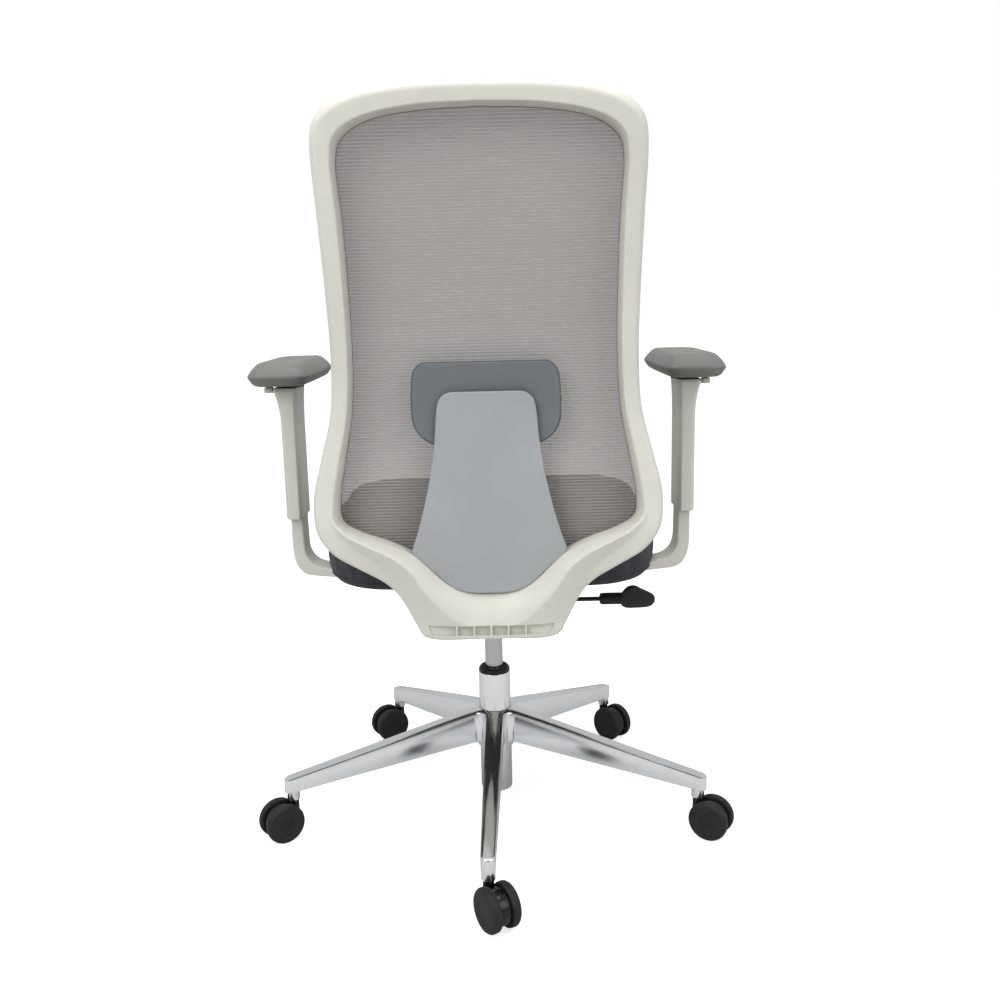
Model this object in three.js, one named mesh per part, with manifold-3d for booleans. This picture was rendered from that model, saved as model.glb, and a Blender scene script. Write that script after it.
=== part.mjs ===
// An office task chair with a moulded back frame and a stretched mesh: five-leg base on twin-wheel
// castors, gas lift, butterfly tilt mechanism, upholstered seat and adjustable arms.
// Millimetres, +Z up, standing on Z = 0. The sitter faces -Y, so the sitter's left side is +X.
import * as THREE from 'three';
import { mergeVertices } from 'three/addons/utils/BufferGeometryUtils.js';
import Module from 'manifold-3d';

const wasm = await Module();
wasm.setup();

// The model is drawn around the gas column's axis, then moved so that Y = 0 is the middle of its depth.
const COLUMN_Y = -47;
// Heights are drawn from a level this far below the floor. Only the castors' are drawn from the floor.
const FLOOR = 13;
const GAP = 0.3;

// Five-leg base.
const LEG_COUNT = 5;
const FIRST_LEG_AZIMUTH = 88;
const LEG = { rootRadius: 20, tipRadius: 338, rootTop: 181, tipTop: 106, rootBottom: 130, tipBottom: 84 };
const LEG_WIDTH = { root: 28, tip: 19.5 };
const LEG_WALL = 4;
const HUB = { radius: 35, bottom: 118, top: 178, bore: 25.3 };
const SOCKET = { radius: 9.7, bottom: 72 };

// Castors. Each trails its stem in the direction it was left in.
const CASTOR_PITCH_RADIUS = 325;
const CASTOR_HEADINGS = [120, 148, 131, 30, 36];
const WHEEL = { radius: 30, width: 13, bore: 3.3 };
const CASTOR_TRAIL = 22;
const STEM = { radius: 5.5, top: 87, bottom: 40 };
const HOOD = { radius: 25.5, halfWidth: 7.8, barrelRadius: 7.6, top: 58 };
const AXLE = { radius: 3, halfLength: 19.5 };

// Gas column.
const TUBE = { radius: 25, bore: 22.3, bottom: 43, top: 240 };
const PISTON = { radius: 5, bottom: 44, top: 235 };
const CYLINDER = { radius: 14, bore: 11, bottom: 155, top: 366, pinTop: 374 };

// Tilt mechanism.
const HOUSING = { halfWidth: 72, front: -122, rear: 50, bottom: 330, top: 378, wall: 4 };
const PIVOT = { y: -45, z: 392, radius: 4.9, bore: 5.2 };
const PLATE = { halfWidth: 100, front: -118, rear: 108, bottom: 407.5, top: 411.7 };
const PLATE_WINDOW = { halfWidth: 76, front: -78, rear: 62 };
const TENSION = { y: -92, knobRadius: 27, knobBottom: 274, knobTop: 314, boltRadius: 5 };
const SPRING = { coilRadius: 13, wireRadius: 2.2, turns: 4, stepsPerTurn: 10, wireSides: 5 };
const LEVER = { y: -35, z: 343, pivotX: -62, rodRadius: 3.5, rodEnd: -202 };
const HANDLE = { gripRadius: 9.5, gripStart: -172, gripEnd: -207, paddleEnd: -261, paddleTilt: 52 };

// Seat.
const SEAT = { halfWidth: 264, front: -285, rear: 175, bottom: 420, top: 502 };
const SEAT_BOW = [[10, 30], [2, -20], [0, -70], [4, -140]];
const PAN = { inset: 51, bottom: 412, thickness: 7.6 };

// Arms.
const ARM = { x: 299.3, y: -14, bracketBottom: 401, postThickness: 15.5, postDepth: 48, postTop: 632 };
const SLEEVE = { width: 25.5, depth: 70, wall: 2.9, bottom: 496, top: 696 };
const BUTTON = { x: ARM.x + 29, y: ARM.y + 20, width: 14, depth: 20, bottom: 689, top: 697 };
const TONGUE = { reach: 23, width: 10, thickness: 3 };
const PIVOT_DISC = { radius: 20.5, thickness: 4.1 };
const ARM_PAD = { inner: 261, outer: 357, front: -190, rear: 60, bottom: 700.8, top: 734.5 };

// Side profile of the back frame's rear face, as [height, depth from the column axis].
const REAR_PROFILE = [
  [378, 258], [440, 262], [500, 260], [580, 251], [680, 245], [800, 262], [930, 288], [1070, 317]];
const FRAME_DEPTH = 36;
const TOP_LIP = 9;
const CARRIER_GAP = 1;
const RING_THICKNESS = 7;
const MESH_THICKNESS = 1.6;
const MESH_MARGIN = 4;
const SPINE = { halfWidth: 88, front: 68, rear: 236, bottom: 381, top: 404 };
const BACK_BOLT = { x: 50, y: 85, radius: 4, headRadius: 7 };
const RIBS = { pitch: 27, thickness: 2.6, count: 6 };

// Steps taken along each span of the rails, more where the outline bends.
const STATION_STEPS = [2, 2, 2, 3, 3, 2, 2, 2, 2, 2, 2, 3, 2, 2, 2, 2, 2, 2, 2, 2];
// Rails of the back frame's half outline as [half-width, height], from the top centre to the bottom
// centre: its outer edge, the crease beside the branch, the branch's ridge and the window's edge.
const OUTER_RAIL = [
  [0, 1062], [75, 1060.5], [135, 1053], [172, 1040], [190, 1023], [196.5, 997], [195, 920], [192.5, 830],
  [192.5, 750], [198, 680], [213, 621], [225, 568], [222, 524], [203, 496], [170, 474], [139, 455],
  [125, 441], [114, 424], [100, 397], [88, 380], [0, 378]];
const CREASE_RAIL = [
  [0, 1047], [73, 1045], [130, 1036], [159, 1025.5], [174, 1012], [181, 990], [180, 920], [178, 830],
  [178, 750], [184, 680], [198, 621], [210, 572], [206, 538], [188, 515], [160, 494], [134, 468],
  [122, 448], [112, 430], [99, 402], [87, 386], [0, 384]];
const RIDGE_RAIL = [
  [0, 1043.5], [72, 1041], [128, 1032], [156, 1021], [170, 1008], [175.5, 987], [173.5, 920], [172, 830],
  [173, 750], [178.5, 680], [191, 621], [200, 570], [201, 544], [187, 526], [160, 511], [130, 497],
  [105, 478], [86, 449], [64, 422], [38, 401], [0, 395]];
const WINDOW_RAIL = [
  [0, 1043.5], [71, 1040.5], [127, 1032], [154, 1020], [168, 1006.5], [173.5, 985], [171, 920], [170, 829],
  [171, 748], [176, 677], [187, 615], [195.5, 563], [193, 536], [170, 521], [134, 508], [98, 491],
  [80, 475], [58, 455], [32, 442], [14, 438.5], [0, 438]];
// How far the branch's ridge stands behind the rear profile, and how far the wing lies before it.
const RIDGE_RISE = [0, 0, 0, 0, 0, 0, 0, 0, 0, 0, 0, 0, 2, 5, 8, 9, 9, 7, 4, 1, 0];
const WING_DROP = [0, 0, 0, 0, 0, 0, 0, 0, 0, 0, 0, 0, 0, 3, 7, 11, 13, 12, 8, 3, 0];
// Lower outer edge of the mesh carrier, which leaves the frame's outline where the neck begins, at this
// fraction of the rails.
const NECK_START = 0.62;
const CARRIER_FOOT = [[170, 477], [139, 460], [112, 445], [84, 433], [54, 424], [26, 420], [0, 419]];

// Lumbar plate and pad. Half-widths of the plate by height.
const LUMBAR_OUTLINE = [
  [704, 50], [700, 58], [693, 62], [675, 65], [640, 68], [600, 74], [555, 84], [510, 96], [494, 97],
  [480, 81], [466, 64], [453, 46], [444, 28], [440, 10]];
const LUMBAR_PAD = { halfWidth: 97, bottom: 634, top: 742, thickness: 12, corner: 26 };
const LUMBAR_PLATE = { thickness: 4, recess: 10 };

const CREAM = new THREE.MeshStandardMaterial({ color: 0xd9d7ca, roughness: 0.5 });
const GREY_PLASTIC = new THREE.MeshStandardMaterial({ color: 0x99a1a0, roughness: 0.5 });
const PAD_GREY = new THREE.MeshStandardMaterial({ color: 0x6c7175, roughness: 0.7 });
const ARM_PAD_GREY = new THREE.MeshStandardMaterial({ color: 0x8a8984, roughness: 0.6 });
const MESH_GREY = new THREE.MeshStandardMaterial({ color: 0xa09c99, roughness: 0.9 });
const FABRIC = new THREE.MeshStandardMaterial({ color: 0x434448, roughness: 0.95 });
const BLACK = new THREE.MeshStandardMaterial({ color: 0x2c2c2d, roughness: 0.45 });
const STEEL = new THREE.MeshStandardMaterial({ color: 0x8c8f92, roughness: 0.35, metalness: 1 });
const CHROME = new THREE.MeshStandardMaterial({ color: 0xdcdedf, roughness: 0.08, metalness: 1 });
const ALUMINIUM = new THREE.MeshStandardMaterial({ color: 0xcccdc8, roughness: 0.15, metalness: 1 });
const POWDER_COAT = new THREE.MeshStandardMaterial({ color: 0x262728, roughness: 0.6, metalness: 0.3 });

const radians = (degrees) => (degrees * Math.PI) / 180;
const lerp = (a, b, t) => a + (b - a) * t;

// ---- Solids -------------------------------------------------------------------------------------

// Makes a solid of a closed geometry, joining its seams and turning its faces outwards.
function solid(geometry) {
  const bare = geometry.index ? geometry.toNonIndexed() : geometry.clone();
  bare.deleteAttribute('normal');
  bare.deleteAttribute('uv');
  const merged = mergeVertices(bare, 1e-4);
  const faces = [];
  const index = merged.index.array;
  for (let i = 0; i < index.length; i += 3) {
    const [a, b, c] = [index[i], index[i + 1], index[i + 2]];
    if (a !== b && b !== c && c !== a) faces.push(a, b, c);
  }
  const vertProperties = merged.attributes.position.array;
  const build = (triVerts) => {
    const mesh = new wasm.Mesh({ numProp: 3, vertProperties, triVerts });
    return new wasm.Manifold(mesh);
  };
  const made = build(new Uint32Array(faces));
  if (made.volume() > 0) return made;
  return build(new Uint32Array(faces).reverse());
}

// A solid's surface as a geometry with flat faces.
function surface(made) {
  const mesh = made.getMesh();
  const geometry = new THREE.BufferGeometry();
  geometry.setAttribute('position', new THREE.BufferAttribute(mesh.vertProperties, 3));
  geometry.setIndex(new THREE.BufferAttribute(mesh.triVerts, 1));
  const flat = geometry.toNonIndexed();
  flat.computeVertexNormals();
  return flat;
}

const join = (...solids) => solids.reduce((all, next) => all.add(next));
const cut = (body, ...tools) => tools.reduce((left, tool) => left.subtract(tool), body);

// A box between two corners.
function box(low, high) {
  const size = high.map((value, i) => value - low[i]);
  const middle = high.map((value, i) => (value + low[i]) / 2);
  return solid(new THREE.BoxGeometry(...size).translate(...middle));
}

// A cylinder along x, y or z, from start to end, centred on the other two coordinates.
function cylinder(axis, radius, start, end, centre, sides = 20) {
  const geometry = new THREE.CylinderGeometry(radius, radius, end - start, sides);
  if (axis === 'x') geometry.rotateZ(-Math.PI / 2).translate((start + end) / 2, centre[0], centre[1]);
  if (axis === 'y') geometry.translate(centre[0], (start + end) / 2, centre[1]);
  if (axis === 'z') geometry.rotateX(Math.PI / 2).translate(centre[0], centre[1], (start + end) / 2);
  return solid(geometry);
}

// A turned solid about the vertical axis, from [radius, height] points.
function turned(profile, sides = 24) {
  const points = profile.map(([r, z]) => new THREE.Vector2(r, z));
  return solid(new THREE.LatheGeometry(points, sides).rotateX(Math.PI / 2));
}

// A turned ring, whose profile closes on itself.
const turnedRing = (profile, sides) => turned([...profile, profile[0]], sides);

// Joins equal rings of points with side faces. The last ring meets the first one when closed is set,
// and otherwise both ends are capped.
function loft(rings, closed = false) {
  const count = rings[0].length;
  const points = rings.flat();
  const faces = [];
  const spans = closed ? rings.length : rings.length - 1;
  for (let r = 0; r < spans; r++) {
    for (let i = 0; i < count; i++) {
      const j = (i + 1) % count;
      const here = r * count;
      const next = ((r + 1) % rings.length) * count;
      faces.push(here + i, here + j, next + j, here + i, next + j, next + i);
    }
  }
  if (!closed) {
    for (const [start, flip] of [[0, true], [(rings.length - 1) * count, false]]) {
      const middle = new THREE.Vector3();
      for (let i = 0; i < count; i++) middle.addScaledVector(points[start + i], 1 / count);
      points.push(middle);
      for (let i = 0; i < count; i++) {
        const edge = [start + i, start + ((i + 1) % count)];
        if (flip) edge.reverse();
        faces.push(edge[0], edge[1], points.length - 1);
      }
    }
  }
  const geometry = new THREE.BufferGeometry().setFromPoints(points);
  geometry.setIndex(faces);
  return solid(geometry);
}

// An outline in the plane of x and z, given depth along Y from front to rear.
function extrudedXZ(shape, front, rear, curveSegments = 8) {
  const options = { depth: rear - front, bevelEnabled: false, curveSegments };
  const geometry = new THREE.ExtrudeGeometry(shape, options);
  return solid(geometry.rotateX(Math.PI / 2).translate(0, rear, 0));
}

// An outline in the plane of x and y, given height from bottom to top.
function extrudedXY(shape, bottom, top, curveSegments = 8) {
  const options = { depth: top - bottom, bevelEnabled: false, curveSegments };
  const geometry = new THREE.ExtrudeGeometry(shape, options);
  return solid(geometry.translate(0, 0, bottom));
}

// A rectangle with round corners, about a centre.
function roundedRectangle(centreX, centreY, width, depth, radius) {
  const [left, right] = [centreX - width / 2, centreX + width / 2];
  const [low, high] = [centreY - depth / 2, centreY + depth / 2];
  const shape = new THREE.Shape();
  shape.absarc(right - radius, high - radius, radius, 0, Math.PI / 2);
  shape.absarc(left + radius, high - radius, radius, Math.PI / 2, Math.PI);
  shape.absarc(left + radius, low + radius, radius, Math.PI, 1.5 * Math.PI);
  shape.absarc(right - radius, low + radius, radius, 1.5 * Math.PI, 2 * Math.PI);
  return shape;
}

const turn = (made, degrees) => made.rotate([0, 0, degrees]);
const mirrored = (made) => made.mirror([1, 0, 0]);

// ---- Base ---------------------------------------------------------------------------------------

// One section across a leg at a distance from the column, shrunk by a wall for its hollow underside.
function legSection(radius, wall) {
  const t = (radius - LEG.rootRadius) / (LEG.tipRadius - LEG.rootRadius);
  const half = lerp(LEG_WIDTH.root, LEG_WIDTH.tip, t) / 2 - wall;
  const top = lerp(LEG.rootTop, LEG.tipTop, t) - wall;
  const bottom = lerp(LEG.rootBottom, LEG.tipBottom, t) - (wall > 0 ? 10 : 0);
  const chamfer = wall > 0 ? 1 : 2;
  const outline = [[-half * 0.8, bottom], [half * 0.8, bottom], [half, top - chamfer], [half - chamfer, top]];
  outline.push([-(half - chamfer), top], [-half, top - chamfer]);
  return outline.map(([y, z]) => new THREE.Vector3(radius, y, z));
}

// One leg along +X, with a half-round tip over the castor's socket.
function leg() {
  const tipHalf = LEG_WIDTH.tip / 2;
  const tipCentre = LEG.tipRadius - tipHalf;
  const beam = loft([legSection(LEG.rootRadius, 0), legSection(tipCentre, 0)]);
  const nose = cylinder('z', tipHalf, LEG.tipBottom, LEG.tipTop, [tipCentre, 0], 24);
  const tip = [CASTOR_PITCH_RADIUS, 0];
  const socket = cylinder('z', SOCKET.radius, SOCKET.bottom, LEG.tipBottom + 12, tip, 24);
  const hollowEnds = [HUB.radius + 6, CASTOR_PITCH_RADIUS - 15];
  const hollow = loft(hollowEnds.map((radius) => legSection(radius, LEG_WALL)));
  const stemHole = cylinder('z', STEM.radius + GAP, SOCKET.bottom - 1, STEM.top + FLOOR + GAP, tip, 16);
  return cut(join(beam, nose, socket), hollow, stemHole);
}

const legAzimuth = (i) => FIRST_LEG_AZIMUTH + (360 / LEG_COUNT) * i;

function baseStar() {
  const { radius, bottom, top } = HUB;
  const hub = turned([
    [0, bottom], [radius - 3, bottom], [radius, bottom + 3], [radius, top - 6], [radius - 5, top], [0, top]]);
  const legs = Array.from({ length: LEG_COUNT }, (_, i) => turn(leg(), legAzimuth(i)));
  return cut(join(hub, ...legs), cylinder('z', HUB.bore, bottom - 10, top + 20, [0, 0], 32));
}

// ---- Castors ------------------------------------------------------------------------------------
// A castor is drawn with its stem on the Z axis, trailing towards +X, and its axle along Y.

function castorStem() {
  return cylinder('z', STEM.radius, STEM.bottom, STEM.top, [0, 0], 12);
}

function castorHood() {
  const drum = cylinder('y', HOOD.radius, -HOOD.halfWidth, HOOD.halfWidth, [CASTOR_TRAIL, WHEEL.radius], 24);
  const barrel = cylinder('z', HOOD.barrelRadius, 38, HOOD.top, [0, 0], 16);
  const bridgeHalf = HOOD.barrelRadius - 0.5;
  const bridge = box([0, -bridgeHalf, 30], [CASTOR_TRAIL, bridgeHalf, 52]);
  const stemHole = cylinder('z', STEM.radius + GAP, STEM.bottom - GAP, HOOD.top + 1, [0, 0], 12);
  const axleHole = cylinder('y', AXLE.radius + GAP, -20, 20, [CASTOR_TRAIL, WHEEL.radius], 12);
  const floorGap = box([-40, -20, -5], [60, 20, 9]);
  return cut(join(drum, barrel, bridge), stemHole, axleHole, floorGap);
}

function castorAxle() {
  return cylinder('y', AXLE.radius, -AXLE.halfLength, AXLE.halfLength, [CASTOR_TRAIL, WHEEL.radius], 12);
}

// The wheel on one side of the hood, where side is 1 or -1 along Y.
function castorWheel(side) {
  const { radius, width, bore } = WHEEL;
  const profile = [
    [bore, 0], [radius - 1, 0], [radius, 1.5], [radius, width - 3], [radius - 4, width], [bore, width]];
  const inner = HOOD.halfWidth + 0.6;
  const wheel = turnedRing(profile, 24).rotate([-90 * side, 0, 0]);
  return wheel.translate([CASTOR_TRAIL, side * inner, radius]);
}

// ---- Gas column ---------------------------------------------------------------------------------

function columnTube() {
  const { radius, bore, bottom, top } = TUBE;
  return turnedRing([
    [PISTON.radius + 0.4, bottom], [radius - 2, bottom], [radius, bottom + 2], [radius, top], [bore, top],
    [bore, bottom + 5], [PISTON.radius + 0.4, bottom + 5]]);
}

function columnBush() {
  const rod = CYLINDER.radius + GAP;
  const fit = TUBE.bore - GAP;
  const seat = TUBE.top + GAP;
  const collar = TUBE.radius - 1;
  return turnedRing([
    [rod, seat - 50], [fit, seat - 50], [fit, seat], [collar, seat], [collar, seat + 5],
    [collar - 2, seat + 8], [rod, seat + 8]]);
}

function thrustBearing() {
  const floor = TUBE.bottom + 5 + GAP;
  const bore = PISTON.radius + GAP;
  return turnedRing([[bore, floor], [12, floor], [12, floor + 9], [bore, floor + 9]]);
}

const pistonRod = () => cylinder('z', PISTON.radius, PISTON.bottom, PISTON.top, [0, 0], 20);

function gasCylinder() {
  const { radius, bore, bottom, top, pinTop } = CYLINDER;
  const rodHole = PISTON.radius + GAP;
  return turned([
    [0, top - 20], [bore, top - 20], [bore, bottom + 7], [rodHole, bottom + 7], [rodHole, bottom],
    [radius, bottom], [radius, top - 2], [radius - 2, top], [4, top], [4, pinTop], [0, pinTop]]);
}

// ---- Tilt mechanism -----------------------------------------------------------------------------

function mechanismHousing() {
  const { halfWidth, front, rear, bottom, top, wall } = HOUSING;
  const shell = box([-halfWidth, front, bottom], [halfWidth, rear, top]);
  const well = box(
    [-halfWidth + wall, front + wall, bottom + wall], [halfWidth - wall, rear - wall, top + 1]);
  const sideWalls = [-1, 1].map((side) => {
    const middle = side * (halfWidth - wall / 2);
    return box([middle - wall / 2, PIVOT.y - 18, top - 1], [middle + wall / 2, PIVOT.y + 18, PIVOT.z + 10]);
  });
  const boss = cylinder('z', 24, bottom, 368, [0, 0], 28);
  const leverEars = [-1, 1].map((side) => {
    const y = LEVER.y + side * 14;
    return box([LEVER.pivotX - 5, y - 2, bottom + 1], [LEVER.pivotX + 5, y + 2, LEVER.z + 7]);
  });
  const pinHole = cylinder('x', PIVOT.bore, -halfWidth - 1, halfWidth + 1, [PIVOT.y, PIVOT.z]);
  const columnHole = cylinder('z', CYLINDER.radius + GAP, bottom - 1, top, [0, 0], 32);
  const boltSlot = box([-8, TENSION.y - 22, bottom - 1], [8, TENSION.y + 8, bottom + wall + 1]);
  const leverSlot = box(
    [-halfWidth - 1, LEVER.y - 9.5, LEVER.z - 9.5], [-halfWidth + wall + 1, LEVER.y + 9.5, LEVER.z + 10.5]);
  const trunnionHoles = cylinder('y', 3 + GAP, LEVER.y - 20, LEVER.y + 20, [LEVER.pivotX, LEVER.z], 16);
  const body = join(cut(shell, well), ...sideWalls, boss, ...leverEars);
  return cut(body, pinHole, columnHole, boltSlot, leverSlot, trunnionHoles);
}

const tiltPivotPin = () => cylinder('x', PIVOT.radius, -88, 88, [PIVOT.y, PIVOT.z], 20);

// Clearance holes for the two bolts that hold the back frame under the plate.
function backBoltHoles(bottom, top) {
  const { x, y, radius } = BACK_BOLT;
  return [-x, x].map((place) => cylinder('z', radius + GAP, bottom - 1, top + 1, [place, y], 12));
}

function tiltPlate() {
  const { halfWidth, front, rear, bottom, top } = PLATE;
  const outline = roundedRectangle(0, (front + rear) / 2, 2 * halfWidth, rear - front, 10);
  const plate = extrudedXY(outline, bottom, top, 3);
  const side = PLATE_WINDOW.halfWidth;
  const window = box([-side, PLATE_WINDOW.front, bottom - 1], [side, PLATE_WINDOW.rear, top + 1]);
  const ears = [-80.5, 80.5].map((x) => (
    box([x - 2.5, PIVOT.y - 16, PIVOT.z - 11], [x + 2.5, PIVOT.y + 16, bottom + 1])));
  const pinHole = cylinder('x', PIVOT.bore, -halfWidth, halfWidth, [PIVOT.y, PIVOT.z]);
  const boltHole = cylinder('z', TENSION.boltRadius + GAP, bottom - 1, top + 1, [0, TENSION.y], 16);
  return cut(join(cut(plate, window), ...ears), pinHole, boltHole, ...backBoltHoles(bottom, top));
}

function tensionKnob() {
  const { knobRadius, knobBottom, knobTop, boltRadius } = TENSION;
  const bore = boltRadius + GAP;
  const knob = turnedRing([
    [bore, knobBottom], [knobRadius - 4, knobBottom], [knobRadius, knobBottom + 4], [knobRadius, knobTop],
    [knobRadius - 5, knobTop], [knobRadius - 5, knobBottom + 12], [bore, knobBottom + 12]]);
  return knob.translate([0, TENSION.y, 0]);
}

function tensionBolt() {
  return cylinder('z', TENSION.boltRadius, TENSION.knobBottom + 2, PLATE.top - 1, [0, TENSION.y], 16);
}

// The coil between the tension knob and the housing's floor.
function tiltSpring() {
  const { coilRadius, wireRadius, turns, stepsPerTurn, wireSides } = SPRING;
  const bottom = TENSION.knobBottom + 12.5 + wireRadius;
  const top = HOUSING.bottom - GAP - wireRadius;
  const steps = turns * stepsPerTurn;
  const rings = Array.from({ length: steps + 1 }, (_, i) => {
    const angle = (i / stepsPerTurn) * 2 * Math.PI;
    const z = lerp(bottom, top, i / steps);
    return Array.from({ length: wireSides }, (_, k) => {
      const around = (k / wireSides) * 2 * Math.PI;
      const r = coilRadius + wireRadius * Math.cos(around);
      const y = TENSION.y + r * Math.sin(angle);
      return new THREE.Vector3(r * Math.cos(angle), y, z + wireRadius * Math.sin(around));
    });
  });
  return loft(rings);
}

// A rocker in the housing's side: lifting the lever's outer end presses its arm on the gas valve.
function leverRocker() {
  const { y, z, pivotX } = LEVER;
  const block = box([-80, y - 9, z - 8], [-54, y + 9, z + 8]);
  const riser = box([-62, y - 7, z + 7], [-55, y + 7, 386]);
  const arm = box([-62, y - 7, 380], [8, y + 7, 386]);
  const finger = box([-8, y - 7, 380], [8, 8, 386]);
  const trunnions = cylinder('y', 3, y - 16, y + 16, [pivotX, z], 12);
  const rodHole = cylinder('x', LEVER.rodRadius + GAP, -81, -56, [y, z], 16);
  return cut(join(block, riser, arm, finger, trunnions), rodHole);
}

const leverRod = () => cylinder('x', LEVER.rodRadius, LEVER.rodEnd, -57, [LEVER.y, LEVER.z], 16);

function leverHandle() {
  const { y, z, rodRadius, rodEnd } = LEVER;
  const { gripRadius, gripStart, gripEnd, paddleEnd, paddleTilt } = HANDLE;
  const grip = cylinder('x', gripRadius, gripEnd - 6, gripStart, [y, z], 20);
  const blade = new THREE.Shape();
  blade.moveTo(gripEnd + 3, -10);
  blade.bezierCurveTo(gripEnd + 2, 22, gripEnd - 8, 27, gripEnd - 17, 26);
  blade.bezierCurveTo(gripEnd - 28, 25, paddleEnd, 8, paddleEnd, -6);
  blade.bezierCurveTo(paddleEnd, -20, paddleEnd + 12, -21, gripEnd - 22, -21);
  blade.bezierCurveTo(gripEnd - 6, -21, gripEnd + 3, -18, gripEnd + 3, -10);
  const paddle = extrudedXY(blade, -4, 4, 6).rotate([paddleTilt, 0, 0]).translate([0, y, z]);
  const rodHole = cylinder('x', rodRadius + GAP, rodEnd - 0.5, gripStart + 1, [y, z], 16);
  return cut(join(grip, paddle), rodHole);
}

// ---- Seat ---------------------------------------------------------------------------------------

// The seat's plan outline, counter-clockwise, drawn in by an inset. Each corner is [side, end of the seat,
// radius, taper of the side], and the bowed sides between them are [narrowing, place along Y].
function seatOutline(inset, height) {
  const { halfWidth, front, rear } = SEAT;
  const corners = [[1, rear, 100, 24], [-1, rear, 100, 24], [-1, front, 75, 14], [1, front, 75, 14]];
  const points = [];
  const put = (x, y) => points.push(new THREE.Vector3(x, y, height));
  corners.forEach(([side, y, radius, taper], corner) => {
    const reach = radius - inset * 0.6;
    const centreX = side * (halfWidth - taper - inset - reach);
    const centreY = y > 0 ? y - inset - reach : y + inset + reach;
    for (let i = 0; i <= 6; i++) {
      const angle = radians(90 * corner + 15 * i);
      put(centreX + reach * Math.cos(angle), centreY + reach * Math.sin(angle));
    }
    const bow = corner === 1 ? SEAT_BOW : [...SEAT_BOW].reverse();
    if (corner % 2 === 1) bow.forEach(([narrow, along]) => put(side * (halfWidth - narrow - inset), along));
  });
  return points;
}

function seatCushion() {
  const { bottom, top } = SEAT;
  const levels = [
    [bottom, 26], [bottom + 4, 15], [bottom + 12, 7], [bottom + 24, 2], [bottom + 38, 0], [bottom + 58, 1],
    [bottom + 70, 7], [top - 4, 18], [top, 38]];
  return loft(levels.map(([height, inset]) => seatOutline(inset, height)));
}

function seatPan() {
  const { inset, bottom, thickness } = PAN;
  const levels = [[bottom, inset + 4], [bottom + 3, inset], [bottom + thickness, inset]];
  return loft(levels.map(([height, drawnIn]) => seatOutline(drawnIn, height)));
}

// ---- Arms (drawn for the +X side) ---------------------------------------------------------------

// Post and under-seat foot bent from one bar, with a wider plate where it meets the seat.
function armBracket() {
  const outer = ARM.x + ARM.postThickness / 2;
  const inner = ARM.x - ARM.postThickness / 2;
  const { bracketBottom: low, postTop } = ARM;
  const bar = new THREE.Shape();
  bar.moveTo(outer, postTop);
  bar.lineTo(outer, low + 40);
  bar.bezierCurveTo(outer, low + 20, outer - 14, low + 8, outer - 42, low + 2);
  bar.lineTo(outer - 62, low - 1);
  bar.lineTo(110, low - 1);
  bar.lineTo(110, low + 10.5);
  bar.lineTo(205, low + 10.5);
  bar.lineTo(inner - 36, low + 16);
  bar.bezierCurveTo(inner - 12, low + 17, inner, low + 26, inner, low + 44);
  bar.lineTo(inner, postTop);
  bar.closePath();
  const post = extrudedXZ(bar, ARM.y - ARM.postDepth / 2, ARM.y + ARM.postDepth / 2, 7);
  const foot = extrudedXY(roundedRectangle(160, ARM.y, 100, 96, 12), low - 1, low + 10.5, 4);
  return join(post, foot);
}

// Hollow sleeve that slides on the post and flares out under the pad.
function armSleeve() {
  const { width, depth, wall, bottom, top } = SLEEVE;
  const section = (height, left, right, front, rear) => {
    const chamfer = 4;
    const corners = [
      [right, rear - chamfer], [right - chamfer, rear], [left + chamfer, rear], [left, rear - chamfer],
      [left, front + chamfer], [left + chamfer, front], [right - chamfer, front], [right, front + chamfer]];
    return corners.map(([x, y]) => new THREE.Vector3(ARM.x + x, ARM.y + y, height));
  };
  const [half, reach] = [width / 2, depth / 2];
  const body = loft([
    section(bottom, -half, half, -reach, reach),
    section(top - 55, -half, half, -reach, reach),
    section(top - 28, -half, half + 3, -reach, reach),
    section(top - 8, -half - 1, half + 8, -reach - 1, reach + 1),
    section(top, -half - 2, half + 9, -reach - 2, reach + 2)]);
  const slack = 0.7;
  const cavity = box(
    [ARM.x - half + wall, ARM.y - ARM.postDepth / 2 - slack, bottom - 1],
    [ARM.x + half - wall, ARM.y + ARM.postDepth / 2 + slack, top - 14]);
  const slotHalf = TONGUE.width / 2 + 0.5;
  const tongueSlot = box(
    [BUTTON.x - TONGUE.reach - 1, BUTTON.y - slotHalf, BUTTON.bottom - 0.6],
    [BUTTON.x, BUTTON.y + slotHalf, top + 1]);
  return cut(body, cavity, tongueSlot);
}

// Height-release button beside the sleeve, under the pad's outer edge. Its tongue enters the sleeve.
function armButton() {
  const { x, y, width, depth, bottom, top } = BUTTON;
  const cap = extrudedXY(roundedRectangle(x, y, width, depth, 5), bottom, top, 4);
  const half = TONGUE.width / 2;
  return join(cap, box([x - TONGUE.reach, y - half, bottom], [x, y + half, bottom + TONGUE.thickness]));
}

// Pivot disc between sleeve and pad. It is round so that it clears the button as the pad turns.
function armPivotPlate() {
  const bottom = SLEEVE.top + GAP;
  return cylinder('z', PIVOT_DISC.radius, bottom, bottom + PIVOT_DISC.thickness, [ARM.x, ARM.y], 28);
}

// The pad's plan outline: straight on the inner side, bowed on the outer one.
function padOutline(inset, height) {
  const { inner, outer, front, rear } = ARM_PAD;
  const width = outer - inner - 2 * inset;
  const length = rear - front - 2 * inset;
  const plan = [
    [0.1, 0], [0.6, 0], [0.86, 0.03], [1, 0.14], [1, 0.45], [0.99, 0.8], [0.93, 0.94], [0.8, 1], [0.15, 1],
    [0.03, 0.975], [0, 0.92], [0, 0.1], [0.03, 0.02]];
  const [startX, startY] = [inner + inset, front + inset];
  return plan.map(([u, v]) => new THREE.Vector3(startX + u * width, startY + v * length, height));
}

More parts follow.
